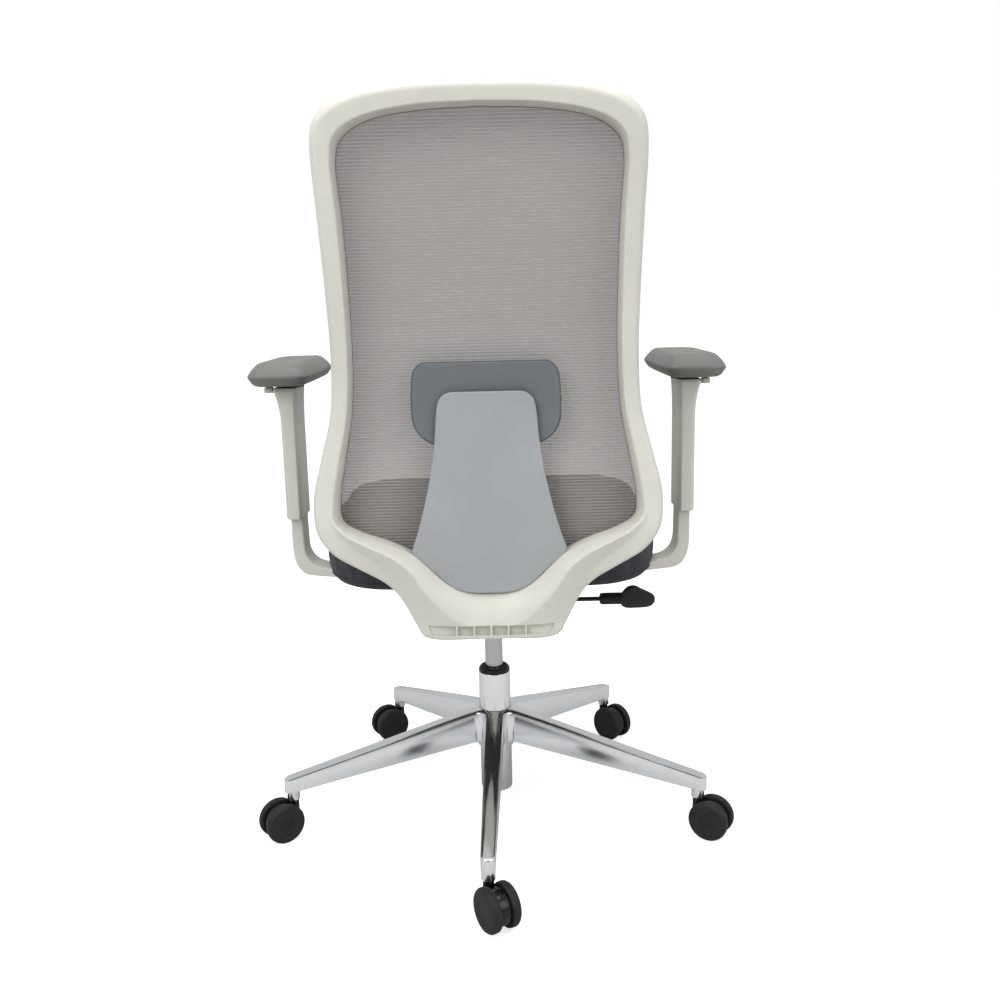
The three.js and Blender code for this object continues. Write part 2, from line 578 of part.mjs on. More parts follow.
function armPad() {
  const { bottom, top } = ARM_PAD;
  const levels = [
    [bottom, 12], [bottom + 3, 6], [bottom + 13, 0], [bottom + 24, 6], [top - 3, 13], [top, 20]];
  return loft(levels.map(([height, inset]) => padOutline(inset, height)));
}

// ---- Back ---------------------------------------------------------------------------------------

// A smooth curve through points, sampled by its own step along the list of points.
function smooth(points) {
  const knots = points.map(([a, b]) => new THREE.Vector3(a, b, 0));
  const curve = new THREE.CatmullRomCurve3(knots, false, 'centripetal');
  return (t) => curve.getPoint(t);
}

const profileCurve = smooth(REAR_PROFILE);
const PROFILE_SAMPLES = Array.from({ length: 201 }, (_, i) => profileCurve(i / 200));

// Depth of the frame's rear face at a height.
function rearY(height) {
  const above = PROFILE_SAMPLES.findIndex((point) => point.x >= height);
  if (above < 0) return PROFILE_SAMPLES[200].y;
  if (above === 0) return PROFILE_SAMPLES[0].y;
  const [low, high] = [PROFILE_SAMPLES[above - 1], PROFILE_SAMPLES[above]];
  return lerp(low.y, high.y, (height - low.x) / (high.x - low.x));
}

const meshY = (height) => rearY(height) - FRAME_DEPTH;

// Positions along the rails, as fractions of their length in points.
function stations() {
  const spans = OUTER_RAIL.length - 1;
  const list = [];
  STATION_STEPS.forEach((steps, span) => {
    for (let i = 0; i < steps; i++) list.push((span + i / steps) / spans);
  });
  return [...list, 1];
}

function sampleList(values, t) {
  const place = t * (values.length - 1);
  const low = Math.min(Math.floor(place), values.length - 2);
  return lerp(values[low], values[low + 1], place - low);
}

// Makes a full ring of sections from the half's sections, mirrored in X.
function ringOfHalf(sections) {
  const mirror = (section) => section.map((p) => new THREE.Vector3(-p.x, p.y, p.z));
  const otherSide = sections.slice(1, -1).reverse().map(mirror);
  return loft([...sections, ...otherSide], true);
}

// Sections of the back frame's half ring, each from the front outer edge round the rear to the front
// inner edge. The outer edge flares into a lip towards the top.
function frameSections() {
  const rails = [OUTER_RAIL, CREASE_RAIL, RIDGE_RAIL, WINDOW_RAIL].map(smooth);
  return stations().map((t) => {
    const [outer, crease, ridge, window] = rails.map((rail) => rail(t));
    const topness = THREE.MathUtils.clamp((outer.y - 990) / 70, 0, 1);
    const flare = 3 + (TOP_LIP - 3) * topness;
    const outward = new THREE.Vector2(outer.x, outer.y - 800).normalize();
    const lipX = outer.x + outward.x * flare * Math.min(1, outer.x / 100);
    const lipZ = outer.y + flare * topness;
    const drop = sampleList(WING_DROP, t);
    const wing = rearY(outer.y) - drop;
    const rise = sampleList(RIDGE_RISE, t);
    const low = THREE.MathUtils.clamp((500 - window.y) / 60, 0, 1);
    return [
      new THREE.Vector3(lipX, meshY(lipZ), lipZ),
      new THREE.Vector3(lipX, wing - 9, lipZ),
      new THREE.Vector3(lerp(outer.x, crease.x, 0.12), wing, lerp(outer.y, crease.y, 0.12)),
      new THREE.Vector3(crease.x, rearY(crease.y) - drop * 0.8, crease.y),
      new THREE.Vector3(ridge.x, rearY(ridge.y) + rise, ridge.y),
      new THREE.Vector3(
        lerp(ridge.x, window.x, 0.4), rearY(ridge.y) + rise * 0.7 - 4, lerp(ridge.y, window.y, 0.4)),
      new THREE.Vector3(window.x, rearY(window.y) - lerp(14, 24, low), window.y),
      new THREE.Vector3(window.x, meshY(window.y), window.y),
    ];
  });
}

// The ring, its neck and the ribbed arm that runs forward under the seat.
function backFrame() {
  const ring = ringOfHalf(frameSections());
  const { halfWidth, front, rear, bottom, top } = SPINE;
  const spine = box([-halfWidth, front, bottom], [halfWidth, rear, top]);
  const pocketHalf = (RIBS.pitch - RIBS.thickness) / 2;
  const pockets = Array.from({ length: RIBS.count }, (_, i) => {
    const middle = (i - (RIBS.count - 1) / 2) * RIBS.pitch;
    return box([middle - pocketHalf, rear - 21, bottom + 2], [middle + pocketHalf, rear + 39, bottom + 11]);
  });
  return cut(join(ring, spine), ...pockets, ...backBoltHoles(bottom, top));
}

// A bolt up through the spine into the tilt plate, on the +X side when side is 1.
function backBolt(side) {
  const centre = [side * BACK_BOLT.x, BACK_BOLT.y];
  const head = cylinder('z', BACK_BOLT.headRadius, SPINE.bottom - 6, SPINE.bottom - GAP, centre, 6);
  return join(head, cylinder('z', BACK_BOLT.radius, SPINE.bottom - 3, PLATE.top - GAP, centre, 12));
}

// Outer edge of the mesh carrier: the frame's front lip, then across above the neck.
function carrierRail() {
  const upper = frameSections().slice(0, stations().findIndex((t) => t > NECK_START));
  const foot = smooth(CARRIER_FOOT);
  const steps = stations().length - upper.length;
  const lower = Array.from({ length: steps }, (_, i) => foot(i / (steps - 1)));
  return [...upper.map((section) => [section[0].x, section[0].z]), ...lower.map((p) => [p.x, p.y])];
}

// Thin grey ring that carries the mesh on the frame's front.
function meshCarrier() {
  const inner = smooth(WINDOW_RAIL);
  const outerEdge = carrierRail();
  const sections = stations().map((t, i) => {
    const edge = inner(t);
    const [x, z] = outerEdge[i];
    const back = (height) => meshY(height) - CARRIER_GAP;
    const front = (height) => meshY(height) - RING_THICKNESS;
    return [
      new THREE.Vector3(x, back(z), z), new THREE.Vector3(edge.x, back(edge.y), edge.y),
      new THREE.Vector3(edge.x, front(edge.y), edge.y), new THREE.Vector3(x, front(z), z)];
  });
  return ringOfHalf(sections);
}

// Half-width of an outline of [half-width, height] points at a height.
function halfWidthAt(outline, height) {
  const below = outline.findIndex(([, z]) => z <= height);
  const [[topX, topZ], [lowX, lowZ]] = [outline[below - 1], outline[below]];
  return lerp(lowX, topX, (height - lowZ) / (topZ - lowZ));
}

// The mesh: a thin sheet over the carrier's front, one row of points for each height.
function backMesh() {
  const edge = carrierRail();
  const [bottom, top] = [edge[edge.length - 1][1] + MESH_MARGIN, edge[0][1] - MESH_MARGIN];
  const rows = 30;
  return loft(Array.from({ length: rows }, (_, i) => {
    const height = top - (top - bottom) * (i / (rows - 1));
    const half = halfWidthAt(edge, height) - MESH_MARGIN;
    const front = meshY(height) - RING_THICKNESS - CARRIER_GAP - MESH_THICKNESS;
    const back = front + MESH_THICKNESS;
    const corners = [[half, back], [0, back], [-half, back], [-half, front], [0, front], [half, front]];
    return corners.map(([x, y]) => new THREE.Vector3(x, y, height));
  }));
}

// Spine plate behind the mesh, level by level down to the bowl of the neck.
function lumbarPlate() {
  const { thickness, recess } = LUMBAR_PLATE;
  return loft(LUMBAR_OUTLINE.map(([height, half]) => {
    const sink = THREE.MathUtils.clamp((545 - height) / 90, 0, 1);
    const rear = rearY(height) - lerp(recess, 17, sink);
    const front = rear - thickness;
    return [[half, rear], [0, rear], [-half, rear], [-half, front], [0, front], [half, front]].map(
      ([x, y]) => new THREE.Vector3(x, y, height));
  }));
}

function lumbarPad() {
  const { halfWidth, bottom, top, thickness, corner } = LUMBAR_PAD;
  const rows = 11;
  const levels = Array.from({ length: rows }, (_, i) => lerp(bottom, top, i / (rows - 1)));
  return loft(levels.map((height) => {
    const fromEnd = Math.min(height - bottom, top - height);
    const drop = corner - Math.min(fromEnd, corner);
    const half = halfWidth - (corner - Math.sqrt(corner * corner - drop * drop));
    const front = meshY(height) + 5;
    const rear = front + thickness;
    const bevel = 3;
    return [
      [half, rear - bevel], [half - bevel, rear], [-half + bevel, rear], [-half, rear - bevel],
      [-half, front + bevel], [-half + bevel, front], [half - bevel, front], [half, front + bevel],
    ].map(([x, y]) => new THREE.Vector3(x, y, height));
  }));
}

// ---- Assembly -----------------------------------------------------------------------------------

const chair = new THREE.Group();
chair.position.set(0, COLUMN_Y, -FLOOR);

function add(name, made, material, group = chair) {
  const mesh = new THREE.Mesh(surface(made), material);
  mesh.name = name;
  group.add(mesh);
}

add('base_star', baseStar(), ALUMINIUM);
add('column_tube', columnTube(), CHROME);
add('column_bush', columnBush(), BLACK);
add('thrust_bearing', thrustBearing(), STEEL);
add('piston_rod', pistonRod(), STEEL);
add('gas_cylinder', gasCylinder(), CHROME);

for (let i = 0; i < LEG_COUNT; i++) {
  const castor = new THREE.Group();
  const azimuth = radians(legAzimuth(i));
  const reach = CASTOR_PITCH_RADIUS;
  castor.position.set(reach * Math.cos(azimuth), reach * Math.sin(azimuth), FLOOR);
  castor.rotation.z = radians(CASTOR_HEADINGS[i]);
  chair.add(castor);
  const name = `castor_${i + 1}`;
  add(`${name}_stem`, castorStem(), STEEL, castor);
  add(`${name}_hood`, castorHood(), BLACK, castor);
  add(`${name}_axle`, castorAxle(), STEEL, castor);
  add(`${name}_wheel_left`, castorWheel(1), BLACK, castor);
  add(`${name}_wheel_right`, castorWheel(-1), BLACK, castor);
}

add('mechanism_housing', mechanismHousing(), POWDER_COAT);
add('tilt_pivot_pin', tiltPivotPin(), STEEL);
add('tilt_plate', tiltPlate(), POWDER_COAT);
add('tilt_spring', tiltSpring(), STEEL);
add('tension_bolt', tensionBolt(), STEEL);
add('tension_knob', tensionKnob(), BLACK);
add('lever_rocker', leverRocker(), POWDER_COAT);
add('lever_rod', leverRod(), POWDER_COAT);
add('lever_handle', leverHandle(), BLACK);

add('seat_pan', seatPan(), BLACK);
add('seat_cushion', seatCushion(), FABRIC);

add('back_frame', backFrame(), CREAM);
add('back_bolt_left', backBolt(1), STEEL);
add('back_bolt_right', backBolt(-1), STEEL);
add('mesh_carrier', meshCarrier(), MESH_GREY);
add('back_mesh', backMesh(), MESH_GREY);
add('lumbar_plate', lumbarPlate(), GREY_PLASTIC);
add('lumbar_pad', lumbarPad(), PAD_GREY);

const armPieces = [
  ['bracket', armBracket, CREAM], ['sleeve', armSleeve, CREAM], ['button', armButton, CREAM],
  ['pivot_plate', armPivotPlate, POWDER_COAT], ['pad', armPad, ARM_PAD_GREY]];
for (const [piece, make, material] of armPieces) {
  add(`arm_${piece}_left`, make(), material);
  add(`arm_${piece}_right`, mirrored(make()), material);
}

export default chair;
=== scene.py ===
# An office task chair with a mesh back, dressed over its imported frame: fine surfaces for every visible
# part, soft goods, materials, light and the camera.
# Lengths are millimetres about the gas column's axis, and to_row() turns them into the row's metres.
import math

import bmesh
import bpy
import numpy as np
from mathutils import Matrix, Vector
from mathutils.bvhtree import BVHTree

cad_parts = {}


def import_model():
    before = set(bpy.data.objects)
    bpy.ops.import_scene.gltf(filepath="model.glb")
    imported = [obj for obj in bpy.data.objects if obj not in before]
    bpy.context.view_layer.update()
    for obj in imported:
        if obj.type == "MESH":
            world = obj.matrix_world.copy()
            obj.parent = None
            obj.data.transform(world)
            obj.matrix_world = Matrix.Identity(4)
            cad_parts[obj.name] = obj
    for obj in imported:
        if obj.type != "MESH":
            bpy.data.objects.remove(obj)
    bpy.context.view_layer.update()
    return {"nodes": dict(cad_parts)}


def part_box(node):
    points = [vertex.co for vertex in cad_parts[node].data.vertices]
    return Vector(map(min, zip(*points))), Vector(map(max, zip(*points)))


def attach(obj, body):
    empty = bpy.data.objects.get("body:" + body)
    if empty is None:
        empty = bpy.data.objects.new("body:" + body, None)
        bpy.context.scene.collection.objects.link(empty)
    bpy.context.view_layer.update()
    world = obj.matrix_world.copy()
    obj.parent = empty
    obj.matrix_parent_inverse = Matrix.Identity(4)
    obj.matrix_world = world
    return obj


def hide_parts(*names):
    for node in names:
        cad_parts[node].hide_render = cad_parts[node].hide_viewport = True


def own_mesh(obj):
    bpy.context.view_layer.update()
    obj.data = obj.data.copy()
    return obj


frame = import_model()

MM = 0.001
tube_low, tube_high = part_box("column_tube")
COLUMN = (tube_low + tube_high) / 2
TUBE = {"radius": 25, "bottom": 43, "top": 240}
# Heights are drawn from this far below the floor, except the castors', which stand on it.
FLOOR = TUBE["top"] - tube_high.z / MM

# Base.
LEG_COUNT = 5
FIRST_LEG = 88
LEG = {"root_radius": 20, "tip_radius": 338, "root_top": 181, "tip_top": 106, "root_bottom": 130,
       "tip_bottom": 84, "root_width": 28, "tip_width": 19.5, "wall": 3.5, "deck": 8, "edge": 2.2}
VALLEY = {"radius": 15, "start": 40}
HUB = {"bore": 25.3, "wall_radius": 29, "bottom": 118}
SOCKET = {"radius": 9.7, "bottom": 72, "top": 96}

# Castors, each drawn with its stem on the Z axis, trailing towards +X.
CASTOR_PITCH_RADIUS = 325
CASTOR_HEADINGS = [120, 148, 131, 30, 36]
CASTOR_TRAIL = 22
WHEEL = {"radius": 30, "width": 13, "inner": 8.4}
HOOD = {"radius": 25.5, "half_width": 7.8, "barrel": 7.6, "top": 58}

# Gas column and mechanism.
CYLINDER = {"radius": 14, "bottom": 155, "top": 366}
TENSION_Y = -92
KNOB = {"radius": 27, "bottom": 274, "top": 314, "bore": 5.3}
SPRING = {"radius": 13, "wire": 2.2, "turns": 4, "bottom": 288.7, "top": 327.5}
LEVER = {"y": -35, "z": 343, "rod": 3.5, "rod_end": -202, "rod_start": -57}
GRIP = {"radius": 9.5, "start": -172, "end": -207, "paddle_end": -261, "tilt": 52}

# Seat.
SEAT = {"half_width": 264, "front": -285, "rear": 175, "bottom": 420, "top": 502}
SEAT_BOW = [(10, 30), (2, -20), (0, -70), (4, -140)]
PAN = {"inset": 51, "bottom": 412, "thickness": 7.6}
SWELL_FRAMES = 20

# Arms, drawn for the +X side.
ARM = {"x": 299.3, "y": -14, "low": 401, "post": 15.5, "depth": 48, "top": 632}
SLEEVE = {"width": 25.5, "depth": 70, "wall": 2.9, "bottom": 496, "top": 696}
BUTTON = {"x": 328.3, "y": 6, "width": 12, "depth": 18, "bottom": 689, "top": 697}
ARM_PAD = {"inner": 261, "outer": 357, "front": -190, "rear": 60, "bottom": 700.8, "top": 734.5}

# Back. The profile is [height, depth] of the frame's rear face, and the rails are [half-width, height]
# from the top centre to the bottom centre.
REAR_PROFILE = [
    (378, 258), (440, 262), (500, 260), (580, 251), (680, 245), (800, 262), (930, 288), (1070, 317)]
FRAME_DEPTH = 36
LIP = {"side": 3, "top": 9, "rise_from": 985, "rise_over": 70, "centre": 800}
OUTER_RAIL = [
    (0, 1062), (75, 1060.5), (135, 1053), (172, 1040), (190, 1023), (196.5, 997), (195, 920), (192.5, 830),
    (192.5, 750), (198, 680), (213, 621), (225, 568), (222, 524), (203, 496), (170, 474), (139, 455),
    (125, 441), (114, 424), (100, 397), (88, 380), (0, 378)]
CREASE_RAIL = [
    (0, 1047), (73, 1045), (130, 1036), (159, 1025.5), (174, 1012), (181, 990), (180, 920), (178, 830),
    (178, 750), (184, 680), (198, 621), (210, 572), (206, 538), (188, 515), (160, 494), (134, 468),
    (122, 448), (112, 430), (99, 402), (87, 386), (0, 384)]
RIDGE_RAIL = [
    (0, 1043.5), (72, 1041), (128, 1032), (156, 1021), (170, 1008), (175.5, 987), (173.5, 920), (172, 830),
    (173, 750), (178.5, 680), (191, 621), (200, 570), (201, 544), (187, 526), (160, 511), (130, 497),
    (105, 478), (86, 449), (64, 422), (38, 401), (0, 395)]
WINDOW_RAIL = [
    (0, 1043.5), (71, 1040.5), (127, 1032), (154, 1020), (168, 1006.5), (173.5, 985), (171, 920), (170, 829),
    (171, 748), (176, 677), (187, 615), (195.5, 563), (193, 536), (170, 521), (134, 508), (98, 491),
    (80, 475), (58, 455), (32, 442), (14, 438.5), (0, 438)]
RIDGE_RISE = [0] * 12 + [2, 5, 8, 9, 9, 7, 4, 1, 0]
WING_DROP = [0] * 13 + [3, 8, 13, 17, 18, 15, 9, 0]
NECK_START = 0.62
CARRIER_FOOT = [(170, 477), (139, 460), (112, 445), (84, 433), (54, 424), (26, 420), (0, 419)]
RING = {"gap": 1, "thickness": 7}
MESH = {"thickness": 1.6, "margin": 4, "pitch": 4.1, "rib": 0.35}
SPINE = {"half_width": 88, "front": 68, "rear": 236, "bottom": 381, "top": 404}
POCKETS = {"edges": [-79, -45.5, -22.7, 0, 22.7, 45.5, 79], "rib": 2.4, "depth": 8, "low": 2.6, "high": 17,
           "lean": 6}
LUMBAR_OUTLINE = [
    (704, 44), (702.5, 51), (699, 56.5), (693, 61.5), (675, 65), (640, 68), (600, 74), (555, 84), (510, 96),
    (494, 97), (480, 82), (466, 67), (452, 52), (443, 36), (438.5, 14)]
LUMBAR_PLATE = {"thickness": 4, "recess": 10, "foot_recess": 17, "tuck": 4}
LUMBAR_PAD = {"half_width": 97, "bow": 6, "bottom": 634, "top": 742, "rear": 17, "thickness": 12,
              "top_corner": 17, "bottom_corner": 34}

# Studio, in metres in the row's frame. Each light has a name, place, target, size and power.
CAMERA = {"place": (-0.0152, 1.5005, 0.8077), "lens": 36.81, "down": 11.163, "roll": -1.3}
LIGHTS = [
    ("key", (1.6, 2.2, 2.3), (0, 0, 0.6), 1.6, 40),
    ("fill", (-1.9, 1.8, 1.8), (0, 0, 0.5), 1.8, 22),
    ("top", (0, 0.2, 3.0), (0, 0, 0.4), 2.0, 46)]
SURROUND = {"strength": 0.6, "dark_from": 0.80, "dark_by": 0.93, "dark": 0.13}
GROUND = {"half": 30.0, "dark": 0.6, "light": 0.62, "glow": 0.72}


# ---- Shapes: each is a pair of points and faces

def to_row(point):
    x, y, z = point
    return Vector((x * MM + COLUMN.x, y * MM + COLUMN.y, (z - FLOOR) * MM))


def lerp(a, b, t):
    return a + (b - a) * t


def clamp(value):
    return max(0.0, min(1.0, value))


def polar(radius, angle):
    return Vector((radius * math.cos(angle), radius * math.sin(angle)))


def turned(degrees, axis):
    return Matrix.Rotation(math.radians(degrees), 4, axis)


def rectangle(x0, y0, x1, y1):
    return [(x0, y0), (x1, y0), (x1, y1), (x0, y1)]


def loft(rings, closed=False):
    """Joins equal rings of points. Both ends are capped, unless the last ring meets the first."""
    count = len(rings[0])
    points = [Vector(p) for ring in rings for p in ring]
    faces = []
    for r in range(len(rings) if closed else len(rings) - 1):
        here = r * count
        there = (r + 1) % len(rings) * count
        for i in range(count):
            j = (i + 1) % count
            faces.append((here + i, here + j, there + j, there + i))
    if not closed:
        faces.append(tuple(range(count)))
        faces.append(tuple(range(len(points) - count, len(points))))
    return points, faces


def merge(*shapes):
    points, faces = [], []
    for some_points, some_faces in shapes:
        start = len(points)
        points += some_points
        faces += [tuple(start + i for i in face) for face in some_faces]
    return points, faces


def moved(shape, matrix):
    return [matrix @ p for p in shape[0]], shape[1]


def lathe(profile, segments=64):
    """Turns a closed outline of (radius, height) points about the Z axis."""
    rings = []
    for i in range(segments):
        angle = 2 * math.pi * i / segments
        rings.append([(r * math.cos(angle), r * math.sin(angle), z) for r, z in profile])
    return loft(rings, closed=True)


def rounded(corners, radii, steps=4):
    """A closed outline with each corner turned into a short curve."""
    corners = [Vector(c) for c in corners]
    if not isinstance(radii, (list, tuple)):
        radii = [radii] * len(corners)
    outline = []
    for i, corner in enumerate(corners):
        before = corners[i - 1] - corner
        after = corners[(i + 1) % len(corners)] - corner
        start = corner + before.normalized() * min(radii[i], 0.45 * before.length)
        end = corner + after.normalized() * min(radii[i], 0.45 * after.length)
        for k in range(steps + 1):
            t = k / steps
            outline.append(start * (1 - t) ** 2 + corner * 2 * t * (1 - t) + end * t ** 2)
    return outline


def rod(radius, low, high, edge):
    """The profile of a solid round bar, for lathe()."""
    return rounded([(0, low), (radius, low), (radius, high), (0, high)], edge)


def inset(outline, distance):
    """A closed flat outline of (u, v) points drawn in by a distance."""
    points = [Vector(p) for p in outline]
    count = len(points)
    area = sum(points[i - 1].x * points[i].y - points[i].x * points[i - 1].y for i in range(count))
    side = 1 if area > 0 else -1
    drawn = []
    for i in range(count):
        along = (points[(i + 1) % count] - points[i - 1]).normalized()
        drawn.append(points[i] + side * distance * Vector((-along.y, along.x)))
    return drawn


def lying(u, v, w):
    return u, v, w


def standing(u, v, w):
    return u, w, v


def slab(outline, low, high, edge, place=lying, steps=3):
    """A flat outline given thickness, with round edges. place(u, v, w) puts a point in the model."""
    levels = []
    for k in range(steps + 1):
        angle = math.pi / 2 * k / steps
        levels.append((low + edge * (1 - math.sin(angle)), edge * (1 - math.cos(angle))))
    levels = levels[::-1] + [(low + high - w, d) for w, d in levels]
    return loft([[place(p.x, p.y, w) for p in inset(outline, d)] for w, d in levels])


def catmull(points):
    """A centripetal curve through points, sampled by its own step along the list of points."""
    knots = [Vector(p) for p in points]

    def at(t):
        place = t * (len(knots) - 1)
        i = min(int(place), len(knots) - 2)
        weight = place - i
        one, two = knots[i], knots[i + 1]
        zero = knots[i - 1] if i > 0 else 2 * one - two
        three = knots[i + 2] if i + 2 < len(knots) else 2 * two - one
        spans = (zero - one, one - two, two - three)
        d0, d1, d2 = [max(span.length ** 0.5, 1e-4) for span in spans]
        start = ((one - zero) / d0 - (two - zero) / (d0 + d1) + (two - one) / d1) * d1
        end = ((two - one) / d1 - (three - one) / (d1 + d2) + (three - two) / d2) * d1
        square, cube = weight ** 2, weight ** 3
        return (one * (2 * cube - 3 * square + 1) + start * (cube - 2 * square + weight)
                + two * (3 * square - 2 * cube) + end * (cube - square))

    return at


def read_at(x, points):
    """The second value at x, along points in order of their first."""
    return float(np.interp(x, [p[0] for p in points], [p[1] for p in points]))


def closed_curve(points, steps):
    """A closed smooth outline through points."""
    count = len(points)
    curve = catmull([points[-2], points[-1], *points, points[0], points[1]])
    spans = count + 3
    return [curve((2 + i / steps) / spans) for i in range(count * steps)]


def tube(path, radius, sides=10, closed=False):
    """A round bar along a path of points."""
    path = [Vector(p) for p in path]
    rings = []
    up = Vector((0, 0, 1))
    for i, point in enumerate(path):
        if closed:
            along = (path[(i + 1) % len(path)] - path[i - 1]).normalized()
        else:
            along = (path[min(i + 1, len(path) - 1)] - path[max(i - 1, 0)]).normalized()
        side = along.cross(up).normalized()
        other = side.cross(along)
        angles = [2 * math.pi * k / sides for k in range(sides)]
        rings.append([point + radius * (math.cos(a) * side + math.sin(a) * other) for a in angles])
    return loft(rings, closed)


# ---- Pieces

def paint(obj, material):
    obj.data.materials.clear()
    obj.data.materials.append(material)


def dress(obj, material, slot, body, *nodes):
    """Gives a piece its finish, the body it rides and the frame nodes it stands for."""
    paint(obj, material)
    if nodes:
        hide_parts(*nodes)
    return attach(obj, body)


def tidy_mesh(mesh, sharp):
    work = bmesh.new()
    work.from_mesh(mesh)
    bmesh.ops.remove_doubles(work, verts=work.verts, dist=2e-6)
    bmesh.ops.dissolve_degenerate(work, edges=work.edges, dist=1e-7)
    bmesh.ops.recalc_face_normals(work, faces=work.faces)
    work.to_mesh(mesh)
    work.free()
    mesh.shade_smooth()
    mesh.set_sharp_from_angle(angle=math.radians(sharp))


def add_object(name, data):
    obj = bpy.data.objects.new(name, data)
    bpy.context.scene.collection.objects.link(obj)
    return obj


def make(name, shape, sharp=38):
    mesh = bpy.data.meshes.new(name)
    mesh.from_pydata([to_row(p) for p in shape[0]], [], shape[1])
    tidy_mesh(mesh, sharp)
    return add_object(name, mesh)


def apply_modifiers(obj):
    bpy.context.view_layer.update()
    evaluated = obj.evaluated_get(bpy.context.evaluated_depsgraph_get())
    mesh = bpy.data.meshes.new_from_object(evaluated)
    obj.modifiers.clear()
    obj.data = mesh


def cut(obj, shape, sharp=38):
    """Cuts a shape out of a piece."""
    tool = make(obj.name + "_cutter", shape)
    modifier = obj.modifiers.new("cut", "BOOLEAN")
    modifier.operation = "DIFFERENCE"
    modifier.solver = "EXACT"
    modifier.object = tool
    apply_modifiers(obj)
    bpy.data.objects.remove(tool)
    tidy_mesh(obj.data, sharp)


def block(low, high):
    (x0, y0, z0), (x1, y1, z1) = low, high
    return loft([[(x, y, z) for x, y in rectangle(x0, y0, x1, y1)] for z in (z0, z1)])


# ---- Materials

def linear(red, green, blue):
    """Screen values from 0 to 255 as linear light."""
    values = [c / 255 for c in (red, green, blue)]
    return [c / 12.92 if c <= 0.04045 else ((c + 0.055) / 1.055) ** 2.4 for c in values] + [1.0]


class Nodes:
    """A node tree under construction."""

    def __init__(self, owner):
        owner.use_nodes = True
        self.tree = owner.node_tree

    def node(self, kind, inputs=(), **settings):
        made = self.tree.nodes.new(kind)
        for key, value in settings.items():
            setattr(made, key, value)
        for key, value in dict(inputs).items():
            self.feed(made.inputs[key], value)
        return made

    def feed(self, socket, value):
        if isinstance(value, bpy.types.NodeSocket):
            self.tree.links.new(value, socket)
        else:
            socket.default_value = value


class Finish(Nodes):
    """A material under construction, with its Principled shader and the object's coordinates."""

    def __init__(self, name, roughness, metallic=0.0, specular=0.5):
        self.material = bpy.data.materials.new(name)
        super().__init__(self.material)
        self.shader = self.tree.nodes["Principled BSDF"]
        self.shader.inputs["Roughness"].default_value = roughness
        self.shader.inputs["Metallic"].default_value = metallic
        self.shader.inputs["Specular IOR Level"].default_value = specular
        self.place = self.tree.nodes.new("ShaderNodeTexCoord").outputs["Object"]

    def noise(self, scale, detail=3, stretch=(1, 1, 1)):
        mapping = self.node("ShaderNodeMapping", {"Vector": self.place, "Scale": stretch})
        inputs = {"Vector": mapping.outputs["Vector"], "Scale": scale, "Detail": detail}
        return self.node("ShaderNodeTexNoise", inputs).outputs["Fac"]

    def waves(self, spacing, direction):
        """Even waves from 0 to 1 along an axis, a spacing in metres apart."""
        apart = self.node("ShaderNodeSeparateXYZ", {"Vector": self.place}).outputs[direction]
        turn = self.math("MULTIPLY", apart, 2 * math.pi / spacing)
        return self.math("MULTIPLY_ADD", self.math("SINE", turn), 0.5, 0.5)

    def math(self, operation, *values):
        made = self.node("ShaderNodeMath", operation=operation)
        for socket, value in zip(made.inputs, values):
            self.feed(socket, value)
        return made.outputs["Value"]

    def spread(self, factor, low, high):
        """Maps a factor from 0..1 onto low..high."""
        inputs = {"Value": factor, "To Min": low, "To Max": high}
        return self.node("ShaderNodeMapRange", inputs).outputs["Result"]

    def blend(self, factor, first, second):
        inputs = {"Factor": factor, "A": first, "B": second}
        return self.node("ShaderNodeMix", inputs, data_type="RGBA").outputs["Result"]

    def set(self, socket, source):
        self.tree.links.new(source, self.shader.inputs[socket])

    def bump(self, height, strength, distance):
        inputs = {"Height": height, "Strength": strength, "Distance": distance}
        self.set("Normal", self.node("ShaderNodeBump", inputs).outputs["Normal"])


def moulded(name, dark, light, roughness, grain=900, strength=0.12, specular=0.4):
    """A moulded plastic: a fine grain, faint mottling and uneven gloss."""
    made = Finish(name, roughness, specular=specular)
    mottle = made.spread(made.noise(7, 4), -0.3, 1.3)
    made.set("Base Color", made.blend(mottle, linear(*dark), linear(*light)))
    gloss = made.noise(grain * 0.05, 2)
    made.set("Roughness", made.spread(gloss, roughness - 0.06, roughness + 0.06))
    made.bump(made.noise(grain, 2), strength, 0.0004)
    return made.material


def metal(name, colour, low, high, ripple, strength, stretch=(1, 1, 1)):
    """A metal whose gloss runs between two roughnesses, with a faint ripple."""
    made = Finish(name, low, metallic=1.0)
    cloud = made.noise(11, 4)
    darker = [c * 0.93 for c in linear(*colour)[:3]] + [1.0]
    made.set("Base Color", made.blend(cloud, darker, linear(*colour)))
    made.set("Roughness", made.spread(made.noise(ripple * 2, 5, stretch), low, high))
    made.bump(made.noise(ripple, 2, stretch), strength, 0.0006)
    return made.material


def woven_fabric():
    """Dense upholstery cloth: a plain weave with flecks."""
    made = Finish("seat_fabric", 0.92, specular=0.2)
    made.shader.inputs["Sheen Weight"].default_value = 0.08
    made.shader.inputs["Sheen Roughness"].default_value = 0.5
    warp, weft, third = [made.waves(0.0022, axis) for axis in "XYZ"]
    weave = made.math("ADD", made.math("MULTIPLY", warp, weft), made.math("MULTIPLY", third, 0.5))
    flecks = made.noise(700, 2)
    tone = made.math("ADD", made.math("MULTIPLY", weave, 0.35), made.math("MULTIPLY", flecks, 0.7))
    made.set("Base Color", made.blend(tone, linear(38, 39, 42), linear(68, 69, 74)))
    made.bump(made.math("ADD", weave, made.math("MULTIPLY", flecks, 0.5)), 0.5, 0.0006)
    return made.material


